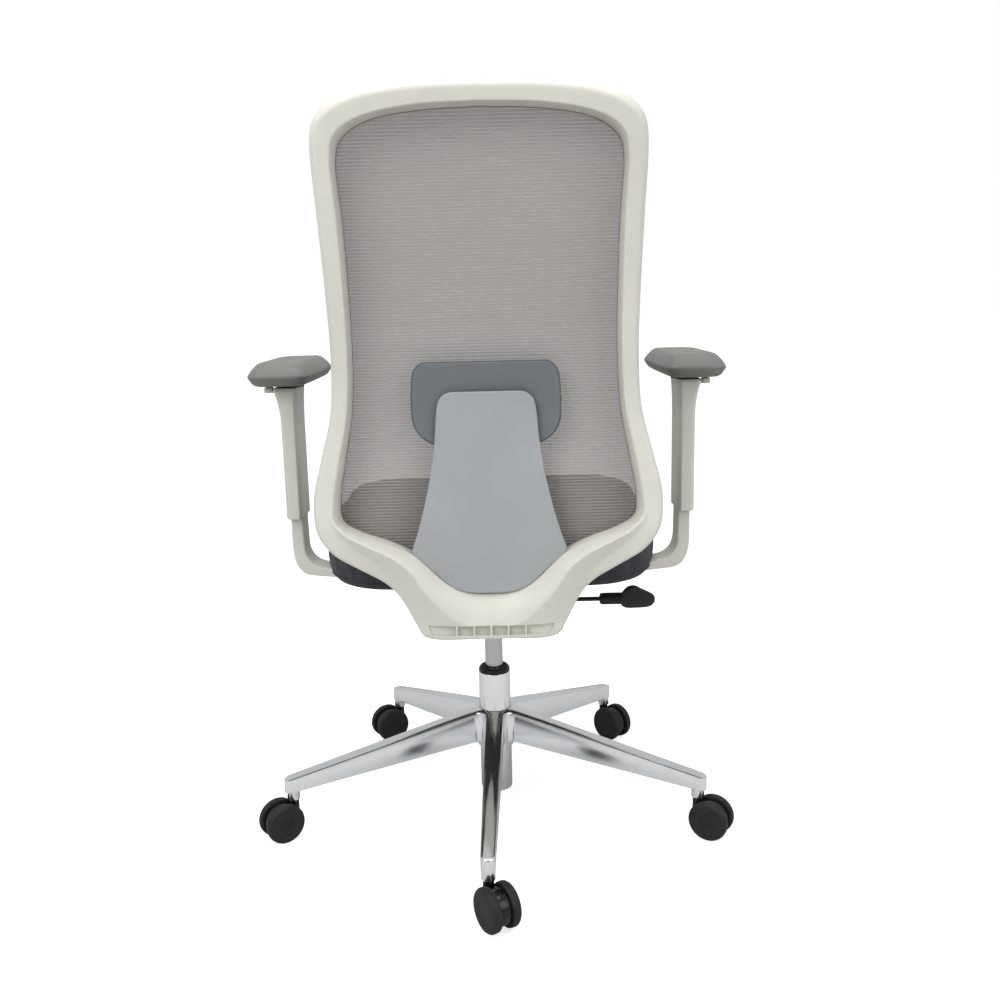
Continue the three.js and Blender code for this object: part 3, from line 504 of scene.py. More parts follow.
def knitted_mesh():
    """The back's mesh: closed horizontal ribs with thinner, slightly open rows between them."""
    made = Finish("mesh_knit", 0.75, specular=0.15)
    rows = made.waves(MESH["pitch"] * MM, "Z")
    threads = made.waves(0.0016, "X")
    cloud = made.noise(6, 3)
    tone = made.math("MULTIPLY_ADD", rows, 0.75, made.math("MULTIPLY", threads, 0.05))
    tone = made.math("MULTIPLY_ADD", cloud, 0.2, tone)
    made.set("Base Color", made.blend(tone, linear(126, 121, 118), linear(178, 173, 169)))
    open_share = made.math("MULTIPLY_ADD", threads, 0.04, made.spread(rows, 0.44, 0.24))
    made.set("Alpha", made.math("SUBTRACT", 1.0, open_share))
    made.bump(made.math("MULTIPLY", rows, made.spread(threads, 0.7, 1.0)), 0.4, 0.0008)
    return made.material


def grained_pad():
    """Soft grey moulded foam skin with a leather-like grain."""
    made = Finish("arm_pad_skin", 0.55, specular=0.35)
    cells = made.node("ShaderNodeTexVoronoi", {"Vector": made.place, "Scale": 620.0}).outputs["Distance"]
    mottle = made.spread(made.noise(9, 4), -0.2, 1.2)
    made.set("Base Color", made.blend(mottle, linear(112, 111, 108), linear(124, 123, 119)))
    made.set("Roughness", made.spread(cells, 0.48, 0.62))
    made.bump(cells, 0.22, 0.0005)
    return made.material


def rolled_tread():
    """Softer wheel treads, scuffed along their middle."""
    made = Finish("castor_tread", 0.62, specular=0.3)
    scuff = made.spread(made.noise(160, 5), -0.2, 1.1)
    made.set("Base Color", made.blend(scuff, linear(26, 26, 27), linear(44, 43, 42)))
    made.set("Roughness", made.spread(made.noise(300, 3), 0.5, 0.75))
    made.bump(made.noise(900, 3), 0.2, 0.0004)
    return made.material


CREAM = moulded("cream_plastic", (205, 204, 195), (216, 215, 205), 0.46)
PLATE = moulded("plate_plastic", (152, 156, 158), (164, 168, 170), 0.42, grain=700)
LUMBAR = moulded("lumbar_grey", (100, 105, 109), (112, 117, 121), 0.55, grain=1200, strength=0.2)
LUMBAR_SHADE_BEAD = moulded("lumbar_painted_shade", (70, 74, 77), (80, 84, 87), 0.5, grain=1200)
# Dark grey for the bead round the lumbar pad: painted shade, standing in for the shadow gap at the pad's
# edge.
CARRIER = moulded("carrier_grey", (118, 114, 111), (136, 132, 129), 0.6)
BLACK = moulded("black_plastic", (18, 18, 19), (26, 26, 27), 0.38, grain=800, specular=0.3)
CASTOR = moulded("castor_gloss", (8, 8, 9), (14, 14, 15), 0.22, grain=500, strength=0.05)
CASTOR_CAP = moulded("castor_cap", (22, 22, 25), (29, 29, 32), 0.5, grain=1100, specular=0.3)
TREAD = rolled_tread()
ALUMINIUM = metal("polished_aluminium", (232, 234, 236), 0.1, 0.22, 26, 0.1)
CHROME = metal("chrome", (232, 233, 232), 0.03, 0.08, 12, 0.04)
BRUSHED = metal("brushed_cylinder", (188, 190, 190), 0.18, 0.32, 60, 0.08, (1, 1, 0.1))
STEEL = metal("steel", (190, 192, 195), 0.28, 0.42, 90, 0.1)
POWDER = moulded("powder_coat", (30, 31, 32), (42, 43, 44), 0.55, grain=1500, strength=0.3)
FABRIC = woven_fabric()
KNIT = knitted_mesh()
PAD_SKIN = grained_pad()


# ---- Base

def leg_at(radius, part):
    """The top, bottom or width of a leg at a distance from the column's axis."""
    t = (radius - LEG["root_radius"]) / (LEG["tip_radius"] - LEG["root_radius"])
    return lerp(LEG["root_" + part], LEG["tip_" + part], t)


def leg_turn(index):
    return math.radians(FIRST_LEG + 360 / LEG_COUNT * index)


def castor_post(index):
    """Where a leg carries its castor."""
    return polar(CASTOR_PITCH_RADIUS, leg_turn(index)).to_3d()


def star_outline():
    """The star's plan: five tapering legs with half-round tips and round valleys between them."""
    tip_half = LEG["tip_width"] / 2
    tip_centre = LEG["tip_radius"] - tip_half
    half_pitch = math.pi / LEG_COUNT
    valley = leg_at(VALLEY["start"], "width") / 2 / math.sin(half_pitch)
    centre = valley + VALLEY["radius"] / math.sin(half_pitch)
    outline = []
    for leg in range(LEG_COUNT):
        turn = Matrix.Rotation(leg_turn(leg), 2)
        side = []
        for k in range(4):
            angle = math.pi - (math.pi / 2 - half_pitch) * k / 4
            curved = Vector((centre, 0)) + polar(VALLEY["radius"], angle)
            side.append(Matrix.Rotation(-half_pitch, 2) @ curved)
        tangent = centre * math.cos(half_pitch)
        for k in range(10):
            radius = lerp(tangent, tip_centre, k / 9)
            side.append(Vector((radius, -leg_at(radius, "width") / 2)))
        for k in range(1, 7):
            angle = -math.pi / 2 + math.pi / 2 * k / 7
            side.append(Vector((tip_centre, 0)) + polar(tip_half, angle))
        other = [Vector((p.x, -p.y)) for p in reversed(side)][:-1]
        nose = [Vector((LEG["tip_radius"], 0))]
        outline += [turn @ p for p in side + nose + other]
    return outline


def base_star():
    outline = star_outline()
    walls = inset(outline, LEG["wall"])
    edge, deck = LEG["edge"], LEG["deck"]
    bore, wall_radius, hub_bottom = HUB["bore"], HUB["wall_radius"], HUB["bottom"]

    def ring(points, part, rise=0):
        return [(p.x, p.y, leg_at(p.length, part) + rise) for p in points]

    def circle(radius, height):
        return [(*(p.normalized() * radius), height) for p in outline]

    rings = [
        ring(inset(outline, 0.8), "bottom"),
        ring(outline, "bottom", 0.8),
        ring(outline, "top", -edge),
        ring(inset(outline, 0.65), "top", -0.65),
        ring(inset(outline, edge), "top"),
        circle(bore + 1, leg_at(bore + 1, "top")),
        circle(bore, leg_at(bore, "top") - 1),
        circle(bore, hub_bottom),
        circle(wall_radius, hub_bottom),
        circle(wall_radius, leg_at(wall_radius, "top") - deck),
        ring(walls, "top", -deck),
        ring(walls, "bottom")]
    socket = lathe(rod(SOCKET["radius"], SOCKET["bottom"], SOCKET["top"], 1.5), 40)
    sockets = [moved(socket, Matrix.Translation(castor_post(leg))) for leg in range(LEG_COUNT)]
    star = make("base_star_cast", loft(rings, closed=True))
    dress(star, ALUMINIUM, "polished_aluminium", "base", "base_star")
    dress(make("base_sockets", merge(*sockets)), ALUMINIUM, "polished_aluminium", "base")


# ---- Castors

def castor_place(index):
    post = castor_post(index)
    post.z = FLOOR
    return Matrix.Translation(post) @ turned(CASTOR_HEADINGS[index], "Z")


def castor_hood():
    """A drum between the wheels, open towards the floor, and the neck round the stem."""
    centre = Vector((CASTOR_TRAIL, WHEEL["radius"]))
    outline = []
    for k in range(41):
        angle = math.radians(-38 + 254 * k / 40)
        outline.append(centre + polar(HOOD["radius"], angle))
    outline.append(centre + Vector((-8, -12)))
    outline.append(centre + Vector((8, -14)))
    drum = slab(outline, -HOOD["half_width"], HOOD["half_width"], 1.2, standing)
    barrel, top = HOOD["barrel"], HOOD["top"]
    profile = rounded([(0, 36), (barrel + 0.2, 36), (barrel, 50), (barrel, top), (0, top)], 1.0)
    return merge(drum, lathe(profile, 40))


def wheel_shapes(side):
    """The tread and the dished cap of one wheel, on the side where Y has this sign."""
    radius, width = WHEEL["radius"], WHEEL["width"]
    tread = rounded([
        (12, 0), (radius - 0.6, 0), (radius, 4), (radius, width - 3.5), (radius - 3.4, width),
        (12, width - 0.2)], [0.5, 1.2, 2, 2.2, 0.8, 0.5])
    cap = [
        (0, width - 2), (radius - 3.8, width - 2), (radius - 3.8, width - 0.1),
        (radius - 4.6, width + 0.1), (radius - 5.6, width - 0.7), (12, width - 0.5), (0, width - 0.4)]
    place = Matrix.Translation((CASTOR_TRAIL, side * WHEEL["inner"], radius)) @ turned(-90 * side, "X")
    return moved(lathe(tread), place), moved(lathe(cap), place)


def castors():
    for index in range(LEG_COUNT):
        name = f"castor_{index + 1}"
        place = castor_place(index)
        hood = make(name + "_hood_shell", moved(castor_hood(), place))
        dress(hood, CASTOR, "castor_plastic", name, name + "_hood")
        for side, word in ((1, "left"), (-1, "right")):
            body = f"{name}_wheel_{word}"
            tread, cap = wheel_shapes(side)
            dress(make(body + "_tread", moved(tread, place)), TREAD, "castor_plastic", body, body)
            dress(make(body + "_cap", moved(cap, place)), CASTOR_CAP, "castor_plastic", body)


# ---- Gas column, mechanism and lever

def column():
    radius, low, high = TUBE["radius"], TUBE["bottom"], TUBE["top"]
    profile = rounded([(22.3, low), (radius - 0.5, low), (radius, low + 4), (radius, high), (22.3, high)], 1)
    dress(make("column_tube_shell", lathe(profile, 96)), CHROME, "chrome", "base", "column_tube")
    lip = high + 0.3
    collar = [(14.4, lip), (radius - 0.6, lip), (radius - 0.6, lip + 4.5), (radius - 3.5, lip + 8),
              (16.5, lip + 8.2), (14.4, lip + 7)]
    bush = make("column_bush_collar", lathe(rounded(collar, 0.9), 96))
    dress(bush, BLACK, "black_plastic", "base", "column_bush")
    radius, low, high = CYLINDER["radius"], CYLINDER["bottom"], CYLINDER["top"]
    cylinder = make("gas_cylinder_body", lathe(rod(radius, low, high, 1.2), 96))
    dress(cylinder, BRUSHED, "chrome", "lift", "gas_cylinder")


def tension_knob():
    radius, low, high, bore = KNOB["radius"], KNOB["bottom"], KNOB["top"], KNOB["bore"]
    profile = rounded([(bore, low), (radius - 3, low), (radius, low + 4), (radius, high), (radius - 4, high),
                       (radius - 4, low + 12), (bore, low + 12)], 1.5)
    flutes = 16
    segments = flutes * 8
    rings = []
    for i in range(segments):
        angle = 2 * math.pi * i / segments
        dip = 1.4 * max(0.0, math.cos(flutes * angle)) ** 2
        ring = []
        for r, z in profile:
            out = r - dip if r > radius - 3.5 and z > low + 2 else r
            ring.append((out * math.cos(angle), TENSION_Y + out * math.sin(angle), z))
        rings.append(ring)
    knob = make("tension_knob_grip", loft(rings, closed=True))
    dress(knob, BLACK, "black_plastic", "tension", "tension_knob")


def tilt_spring():
    steps = 40 * SPRING["turns"]
    path = []
    for i in range(steps + 1):
        angle = 2 * math.pi * i / 40
        height = lerp(SPRING["bottom"], SPRING["top"], i / steps)
        x, y = SPRING["radius"] * math.cos(angle), SPRING["radius"] * math.sin(angle)
        path.append((x, TENSION_Y + y, height))
    spring = make("tilt_spring_coil", tube(path, SPRING["wire"], 10))
    dress(spring, STEEL, "steel", "seat", "tilt_spring")
    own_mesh(spring)


def along_x(shape, y, z):
    """Lays a shape turned about Z along the X axis instead."""
    return moved(shape, Matrix.Translation((0, y, z)) @ turned(90, "Y"))


def lever():
    y, z = LEVER["y"], LEVER["z"]
    profile = rod(LEVER["rod"], LEVER["rod_end"], LEVER["rod_start"], 0.8)
    bar = make("lever_rod_bar", along_x(lathe(profile, 40), y, z))
    dress(bar, BLACK, "powder_coat", "lever", "lever_rod")
    radius, start, end = GRIP["radius"], GRIP["start"], GRIP["end"]
    grip = [(0, end - 8), (radius - 1, end - 8), (radius, end), (radius, start - 5), (radius - 1.2, start),
            (5, start), (5, start - 2), (0, start - 2)]
    shape = along_x(lathe(rounded(grip, 1.5), 56), y, z)
    far = GRIP["paddle_end"]
    plan = closed_curve([
        (end + 3, -8), (end, 14), (end - 8, 28), (end - 18, 31), (end - 32, 21), (far + 2, 4), (far, -9),
        (far + 6, -20), (end - 24, -24), (end - 6, -22)], 5)
    tilt = Matrix.Translation((0, y, z)) @ turned(GRIP["tilt"], "X")
    paddle = moved(slab(plan, -4.5, 4.5, 3.2, steps=4), tilt)
    handle = make("lever_handle_grip", merge(shape, paddle))
    dress(handle, BLACK, "black_plastic", "lever", "lever_handle")


def keep_node(name, material, bevel=0.0008):
    """Gives a kept frame node a finish and soft edges."""
    obj = frame["nodes"][name]
    paint(obj, material)
    weld = obj.modifiers.new("weld", "WELD")
    weld.merge_threshold = 1e-5
    edges = obj.modifiers.new("edges", "BEVEL")
    edges.width = bevel
    edges.segments = 2
    edges.limit_method = "ANGLE"
    edges.angle_limit = math.radians(40)


def kept_nodes():
    for name in ("mechanism_housing", "tilt_plate", "lever_rocker"):
        keep_node(name, POWDER)
    steel = ["tilt_pivot_pin", "tension_bolt", "piston_rod", "thrust_bearing", "back_bolt_left",
             "back_bolt_right"]
    for index in range(LEG_COUNT):
        steel += [f"castor_{index + 1}_stem", f"castor_{index + 1}_axle"]
    for name in steel:
        keep_node(name, STEEL, 0.0004)
    for side in ("left", "right"):
        keep_node(f"arm_pivot_plate_{side}", POWDER)


# ---- Seat

def seat_outline(drawn_in, steps=10):
    """The seat's plan drawn in by an inset, as (x, y) points counter-clockwise."""
    half, front, rear = SEAT["half_width"], SEAT["front"], SEAT["rear"]
    corners = [(1, rear, 100, 22), (-1, rear, 100, 22), (-1, front, 100, 6), (1, front, 100, 6)]
    points = []
    for corner, (side, y, radius, taper) in enumerate(corners):
        reach = radius - drawn_in * 0.6
        centre_x = side * (half - taper - drawn_in - reach)
        centre_y = y - drawn_in - reach if y > 0 else y + drawn_in + reach
        for i in range(steps + 1):
            angle = math.radians(90 * corner + 90 / steps * i)
            points.append((centre_x + reach * math.cos(angle), centre_y + reach * math.sin(angle)))
        if corner % 2 == 1:
            bow = SEAT_BOW if corner == 1 else SEAT_BOW[::-1]
            points += [(side * (half - narrow - drawn_in), along) for narrow, along in bow]
    return points


def seat_rings(levels):
    return [[(x, y, height) for x, y in seat_outline(drawn_in)] for height, drawn_in in levels]


def inflate(obj, voxel, pressure, cap, pinned_below):
    """Lets a closed mesh swell as stuffed cloth for a moment, its flat underside held."""
    modifier = obj.modifiers.new("remesh", "REMESH")
    modifier.mode = "VOXEL"
    modifier.voxel_size = voxel
    apply_modifiers(obj)
    rest = np.array([v.co for v in obj.data.vertices])
    held = obj.vertex_groups.new(name="held")
    held.add([i for i, point in enumerate(rest) if point[2] < pinned_below], 1.0, "REPLACE")
    cloth = obj.modifiers.new("cloth", "CLOTH")
    cloth.settings.use_pressure = True
    cloth.settings.uniform_pressure_force = pressure
    cloth.settings.vertex_group_mass = "held"
    cloth.settings.effector_weights.gravity = 0
    cloth.settings.quality = 4
    cloth.point_cache.frame_start = 1
    cloth.point_cache.frame_end = SWELL_FRAMES
    for step in range(1, SWELL_FRAMES + 1):
        bpy.context.scene.frame_set(step)
    apply_modifiers(obj)
    bpy.context.scene.frame_set(1)
    swollen = np.array([v.co for v in obj.data.vertices])
    shift = swollen - rest
    length = np.linalg.norm(shift, axis=1, keepdims=True)
    shift *= np.minimum(1, cap / np.maximum(length, 1e-9))
    obj.data.vertices.foreach_set("co", (rest + shift).ravel())


def seat_cushion():
    bottom, top = SEAT["bottom"], SEAT["top"]
    # The cloth starts smaller than the space it fills, and swells into it.
    start = [(bottom, 17), (bottom + 1, 14), (bottom + 6, 7.5), (bottom + 14, 3), (bottom + 30, 1.5),
             (bottom + 60, 1.5), (top - 9, 3), (top - 4.5, 6), (top - 2, 11), (top - 1.2, 20),
             (top - 1.2, 80)]
    cushion = make("seat_cushion_foam", loft(seat_rings(start)))
    inflate(cushion, 0.006, 4.0, 0.012, to_row((0, 0, bottom + 1.5)).z)
    smoother = cushion.modifiers.new("smooth", "SMOOTH")
    smoother.factor = 0.5
    smoother.iterations = 4
    finer = cushion.modifiers.new("finer", "SUBSURF")
    finer.levels = finer.render_levels = 1
    apply_modifiers(cushion)
    tidy_mesh(cushion.data, 80)
    dress(cushion, FABRIC, "seat_fabric", "seat", "seat_cushion")
    return cushion


def seat_piping(cushion):
    """Two cords round the cushion, laid on its swollen surface."""
    surface = BVHTree.FromObject(cushion, bpy.context.evaluated_depsgraph_get())
    for name, height, drawn_in in (("upper", SEAT["top"] - 20, 4), ("lower", SEAT["bottom"] + 9, 8)):
        path = [to_row((x, y, height)) for x, y in seat_outline(drawn_in, 16)]
        found = [surface.find_nearest(point)[0] for point in path]
        in_mm = [(p - to_row((0, 0, 0))) / MM for p in found]
        piping = make(f"seat_piping_{name}", tube(in_mm, 1.9, 8, closed=True))
        dress(piping, FABRIC, "seat_fabric", "seat")


def seat_pan():
    low, drawn_in = PAN["bottom"], PAN["inset"]
    high = low + PAN["thickness"]
    levels = [(low, drawn_in + 5), (low + 0.6, drawn_in + 2.5), (low + 3, drawn_in), (high - 0.6, drawn_in),
              (high, drawn_in + 1)]
    dress(make("seat_pan_shell", loft(seat_rings(levels))), BLACK, "black_plastic", "seat", "seat_pan")


# ---- Arms

def mirrored(shape, side):
    return moved(shape, Matrix.Scale(side, 4, (1, 0, 0)))


def arm_bracket():
    outer = ARM["x"] + ARM["post"] / 2
    inner = ARM["x"] - ARM["post"] / 2
    low = ARM["low"]
    corners = [
        (outer, ARM["top"]), (outer, low + 6), (outer - 64, low - 1), (110, low - 1), (110, low + 10.5),
        (205, low + 10.5), (inner - 4, low + 17), (inner, ARM["top"])]
    outline = rounded(corners, [6, 46, 20, 5, 5, 30, 34, 6], 9)
    half = ARM["depth"] / 2
    bar = slab(outline, ARM["y"] - half, ARM["y"] + half, 3, standing, 4)
    foot = rounded(rectangle(110, ARM["y"] - 48, 210, ARM["y"] + 48), 12, 5)
    return merge(bar, slab(foot, low - 1, low + 10.5, 2))


def sleeve_ring(height, left, right, front, rear, bevel):
    """A section of the sleeve, with bevels twice as long on the rear face."""
    corners = [
        (left + bevel, front), (right - bevel, front), (right, front + bevel), (right, rear - 2 * bevel),
        (right - bevel, rear), (left + bevel, rear), (left, rear - 2 * bevel), (left, front + bevel)]
    return [(ARM["x"] + p.x, ARM["y"] + p.y, height) for p in rounded(corners, 1.2, 2)]


def arm_sleeve():
    half, reach = SLEEVE["width"] / 2, SLEEVE["depth"] / 2
    bottom, top, wall = SLEEVE["bottom"], SLEEVE["top"], SLEEVE["wall"]
    rings = [sleeve_ring(top, -half - 1, half + 8, -reach - 1, reach + 1, 4.5)]
    steps = 12
    for k in range(steps + 1):
        height = lerp(top - 1.5, top - 60, k / steps)
        flare = (1 - k / steps) ** 2.2
        rings.append(sleeve_ring(
            height, -half - 2 * flare, half + 9 * flare, -reach - 2 * flare, reach + 2 * flare, 4.5))
    rings.append(sleeve_ring(bottom + 1.2, -half, half, -reach, reach, 4.5))
    rings.append(sleeve_ring(bottom, -half + 1, half - 1, -reach + 1, reach - 1, 4))
    depth = ARM["depth"] / 2 + 0.7
    for height in (bottom, top - 14):
        rings.append(sleeve_ring(height, -half + wall, half - wall, -depth, depth, 1.5))
    return loft(rings)


def arm_button():
    x, y, width, depth = BUTTON["x"], BUTTON["y"], BUTTON["width"] / 2, BUTTON["depth"] / 2
    outline = rounded(rectangle(x - width, y - depth, x + width, y + depth), 5, 5)
    cap = slab(outline, BUTTON["bottom"], BUTTON["top"], 1.5)
    tongue = block((x - 23, y - 5, BUTTON["bottom"]), (x, y + 5, BUTTON["bottom"] + 3))
    return merge(cap, tongue)


def arm_pad():
    """A soft pad with a wide bevel round its flat top and a shorter one under its widest line."""
    inner, outer, front, rear = ARM_PAD["inner"], ARM_PAD["outer"], ARM_PAD["front"], ARM_PAD["rear"]
    low, high = ARM_PAD["bottom"], ARM_PAD["top"]
    plan = closed_curve([
        (0.1, 0.004), (0.55, 0), (0.84, 0.03), (0.98, 0.13), (1, 0.45), (0.985, 0.78), (0.93, 0.93),
        (0.78, 0.99), (0.45, 1), (0.12, 0.99), (0.02, 0.95), (0, 0.86), (0, 0.12), (0.02, 0.03)], 6)
    levels = [(low, 12), (low + 0.8, 9.5), (low + 3, 6), (low + 10, 1.5), (low + 12.5, 0.2), (low + 14.5, 0),
              (low + 16.5, 0.8), (low + 23, 5.2), (high - 3.6, 12), (high - 1.2, 15.5), (high - 0.2, 19.5),
              (high, 24)]
    rings = []
    for height, drawn_in in levels:
        width = outer - inner - 2 * drawn_in
        length = rear - front - 2 * drawn_in
        start = Vector((inner + drawn_in, front + drawn_in))
        rings.append([(start.x + p.x * width, start.y + p.y * length, height) for p in plan])
    return loft(rings)


def arms():
    for side, word in ((1, "left"), (-1, "right")):
        for part, kind, shape, body in (
                ("bracket", "bar", arm_bracket(), "seat"),
                ("sleeve", "shell", arm_sleeve(), f"arm_{word}"),
                ("button", "cap", arm_button(), f"arm_button_{word}")):
            made = make(f"arm_{part}_{word}_{kind}", mirrored(shape, side))
            dress(made, CREAM, "cream_plastic", body, f"arm_{part}_{word}")
        pad = make(f"arm_pad_{word}_skin", mirrored(arm_pad(), side), 60)
        dress(pad, PAD_SKIN, "arm_grey", f"arm_pad_{word}", f"arm_pad_{word}")


# ---- Back

rails = [catmull(rail) for rail in (OUTER_RAIL, CREASE_RAIL, RIDGE_RAIL, WINDOW_RAIL)]
profile_at = catmull(REAR_PROFILE)
PROFILE = [profile_at(i / 400) for i in range(401)]
STATION_COUNT = 7 * (len(OUTER_RAIL) - 1)
STATIONS = [i / STATION_COUNT for i in range(STATION_COUNT + 1)]


def rear_y(height):
    """Depth of the frame's rear face at a height."""
    return read_at(height, PROFILE)


def mesh_y(height):
    return rear_y(height) - FRAME_DEPTH


def sample(values, t):
    place = t * (len(values) - 1)
    low = min(int(place), len(values) - 2)
    return lerp(values[low], values[low + 1], place - low)


def ring_of_half(sections):
    """A full ring of sections from one half's, mirrored in X."""
    other = [[Vector((-p.x, p.y, p.z)) for p in section] for section in sections[-2:0:-1]]
    return loft(sections + other, closed=True)


def frame_corners(t):
    """Corners of the frame's section at a station, from its front lip round to the window's edge."""
    outer, crease, ridge, window = [rail(t) for rail in rails]
    topness = clamp((outer.y - LIP["rise_from"]) / LIP["rise_over"])
    flare = lerp(LIP["side"], LIP["top"], topness)
    outward = Vector((outer.x, outer.y - LIP["centre"])).normalized()
    lip_x = outer.x + outward.x * flare * min(1, outer.x / 100)
    lip_z = outer.y + flare * topness
    drop = sample(WING_DROP, t)
    wing = rear_y(outer.y) - drop
    rise = sample(RIDGE_RISE, t)
    low = clamp((500 - window.y) / 60)
    near = lerp(outer, crease, 0.12)
    inside = lerp(ridge, window, 0.4)
    return [
        Vector((lip_x, mesh_y(lip_z), lip_z)), Vector((lip_x, wing - 9, lip_z)),
        Vector((near.x, wing, near.y)), Vector((crease.x, rear_y(crease.y) - drop * 0.8, crease.y)),
        Vector((ridge.x, rear_y(ridge.y) + rise, ridge.y)),
        Vector((inside.x, rear_y(ridge.y) + rise * 0.7 - 4, inside.y)),
        Vector((window.x, rear_y(window.y) - lerp(14, 24, low), window.y)),
        Vector((window.x, mesh_y(window.y), window.y))]


def neck_pockets():
    """Shallow pockets across the foot of the neck, split by thin ribs. The end ones lean outwards."""
    low, high = SPINE["bottom"] + POCKETS["low"], SPINE["bottom"] + POCKETS["high"]
    front = rear_y(low) - POCKETS["depth"]
    pockets = []
    for left, right in zip(POCKETS["edges"], POCKETS["edges"][1:]):
        left, right = left + POCKETS["rib"] / 2, right - POCKETS["rib"] / 2
        rings = []
        for height, lean in ((low, 0), (high, POCKETS["lean"])):
            start = left - lean if left < -60 else left
            end = right + lean if right > 60 else right
            rings.append([(x, y, height) for x, y in rectangle(start, front, end, front + 80)])
        pockets.append(loft(rings))
    return merge(*pockets)


def back_frame():
    radii = [1.5, 5, 4, 1.5, 3, 8, 2.5, 1]
    sections = [rounded(frame_corners(t), radii, 3) for t in STATIONS]
    ring = make("back_frame_shell", ring_of_half(sections), 50)
    cut(ring, neck_pockets(), 50)
    dress(ring, CREAM, "cream_plastic", "seat", "back_frame")
    half_width = SPINE["half_width"]
    outline = rounded(rectangle(-half_width, SPINE["front"], half_width, SPINE["rear"]), 9)
    arm = make("back_spine_arm", slab(outline, SPINE["bottom"], SPINE["top"], 2))
    dress(arm, CREAM, "cream_plastic", "seat")


def carrier_edge():
    """Outer edge of the mesh carrier at each station: the frame's lip, then across above the neck."""
    upper = [frame_corners(t)[0] for t in STATIONS if t <= NECK_START]
    foot = catmull(CARRIER_FOOT)
    steps = len(STATIONS) - len(upper)
    lower = [foot(i / (steps - 1)) for i in range(steps)]
    return [Vector((p.x, p.z)) for p in upper] + lower


def mesh_carrier():
    window = catmull(WINDOW_RAIL)
    sections = []
    for t, outer in zip(STATIONS, carrier_edge()):
        inner = window(t)
        corners = []
        for edge, depth in ((outer, RING["gap"]), (inner, RING["gap"]), (inner, RING["thickness"]),
                            (outer, RING["thickness"])):
            corners.append((edge.x, mesh_y(edge.y) - depth, edge.y))
        sections.append(rounded(corners, 1.2, 3))
    ring = make("mesh_carrier_ring", ring_of_half(sections), 50)
    dress(ring, CARRIER, "mesh_grey", "seat", "mesh_carrier")


def back_mesh():
    """The stretched sheet, with a real rib across it at every pitch of the knit."""
    edge = [(height, half) for half, height in reversed(carrier_edge())]
    bottom, top = edge[0][0] + MESH["margin"], edge[-1][0] - MESH["margin"]
    rows = int((top - bottom) / MESH["pitch"] * 6)
    columns = 24
    rings = []
    for i in range(rows + 1):
        height = lerp(top, bottom, i / rows)
        half = read_at(height, edge) - MESH["margin"]
        front = mesh_y(height) - RING["thickness"] - RING["gap"] - MESH["thickness"]
        back = front + MESH["thickness"]
        wave = MESH["rib"] * (0.5 - 0.5 * math.cos(2 * math.pi * (height - bottom) / MESH["pitch"]))
        across = [half - 2 * half * k / columns for k in range(columns + 1)]
        ring = [(x, back - MESH["rib"] + wave, height) for x in across]
        ring += [(x, front + MESH["rib"] - wave, height) for x in reversed(across)]
        rings.append(ring)
    sheet = make("back_mesh_sheet", loft(rings), 70)
    dress(sheet, KNIT, "mesh_grey", "seat", "back_mesh")
    height = to_row((0, 0, top)).z - to_row((0, 0, bottom)).z


def quarter(centre, radius, start, first):
    """Points of a clockwise quarter turn in fifths, from the first fifth given to the last but one."""
    return [centre + polar(radius, start - math.pi / 10 * k) for k in range(first, 5)]


def plate_section(half, rear, front, depth, columns=14):
    """A flat bar's outline of (x, y) points with round ends, clockwise from its rear left."""
    flat = half - depth
    across = [lerp(-flat, flat, k / columns) for k in range(columns + 1)]
    section = [Vector((x, rear)) for x in across]
    section += quarter(Vector((flat, rear - depth)), depth, math.pi / 2, 1)
    section += quarter(Vector((flat, front + depth)), depth, 0, 0)
    section += [Vector((x, front)) for x in reversed(across)]
    section += quarter(Vector((-flat, front + depth)), depth, -math.pi / 2, 1)
    section += quarter(Vector((-flat, rear - depth)), depth, math.pi, 0)
    return section


def curved_plate(levels, half_of, rear_of, thickness, edge):
    """A curved plate: one section across for each height, with round edges all round."""
    bottom, top = min(levels), max(levels)
    rings = []
    for height in levels:
        drop = edge - min(height - bottom, top - height, edge)
        thin = min(edge - math.sqrt(max(edge * edge - drop * drop, 0)), thickness / 2 - 0.15)
        rear, front = rear_of(height) - thin, rear_of(height) - thickness + thin
        depth = min(edge, (rear - front) / 2)
        rings.append([(p.x, p.y, height) for p in plate_section(half_of(height), rear, front, depth)])
    return loft(rings)


def eased_levels(bottom, top, count):
    """Heights that crowd together towards both ends."""
    return [lerp(bottom, top, 0.5 - 0.5 * math.cos(math.pi * i / count)) for i in range(count + 1)]


def lumbar_plate():
    heights = [height for height, _ in LUMBAR_OUTLINE]
    curve = catmull(LUMBAR_OUTLINE)
    fine = [curve(i / 280) for i in range(281)][::-1]

    def half(height):
        tuck = LUMBAR_PLATE["tuck"] * clamp((520 - height) / 25)
        return read_at(height, fine) + tuck

    def rear(height):
        sink = clamp((545 - height) / 90)
        return rear_y(height) - lerp(LUMBAR_PLATE["recess"], LUMBAR_PLATE["foot_recess"], sink)

    levels = eased_levels(heights[-1], heights[0], 110)
    shape = curved_plate(levels, half, rear, LUMBAR_PLATE["thickness"], 1.8)
    dress(make("lumbar_plate_shell", shape, 60), PLATE, "plate_plastic", "seat", "lumbar_plate")


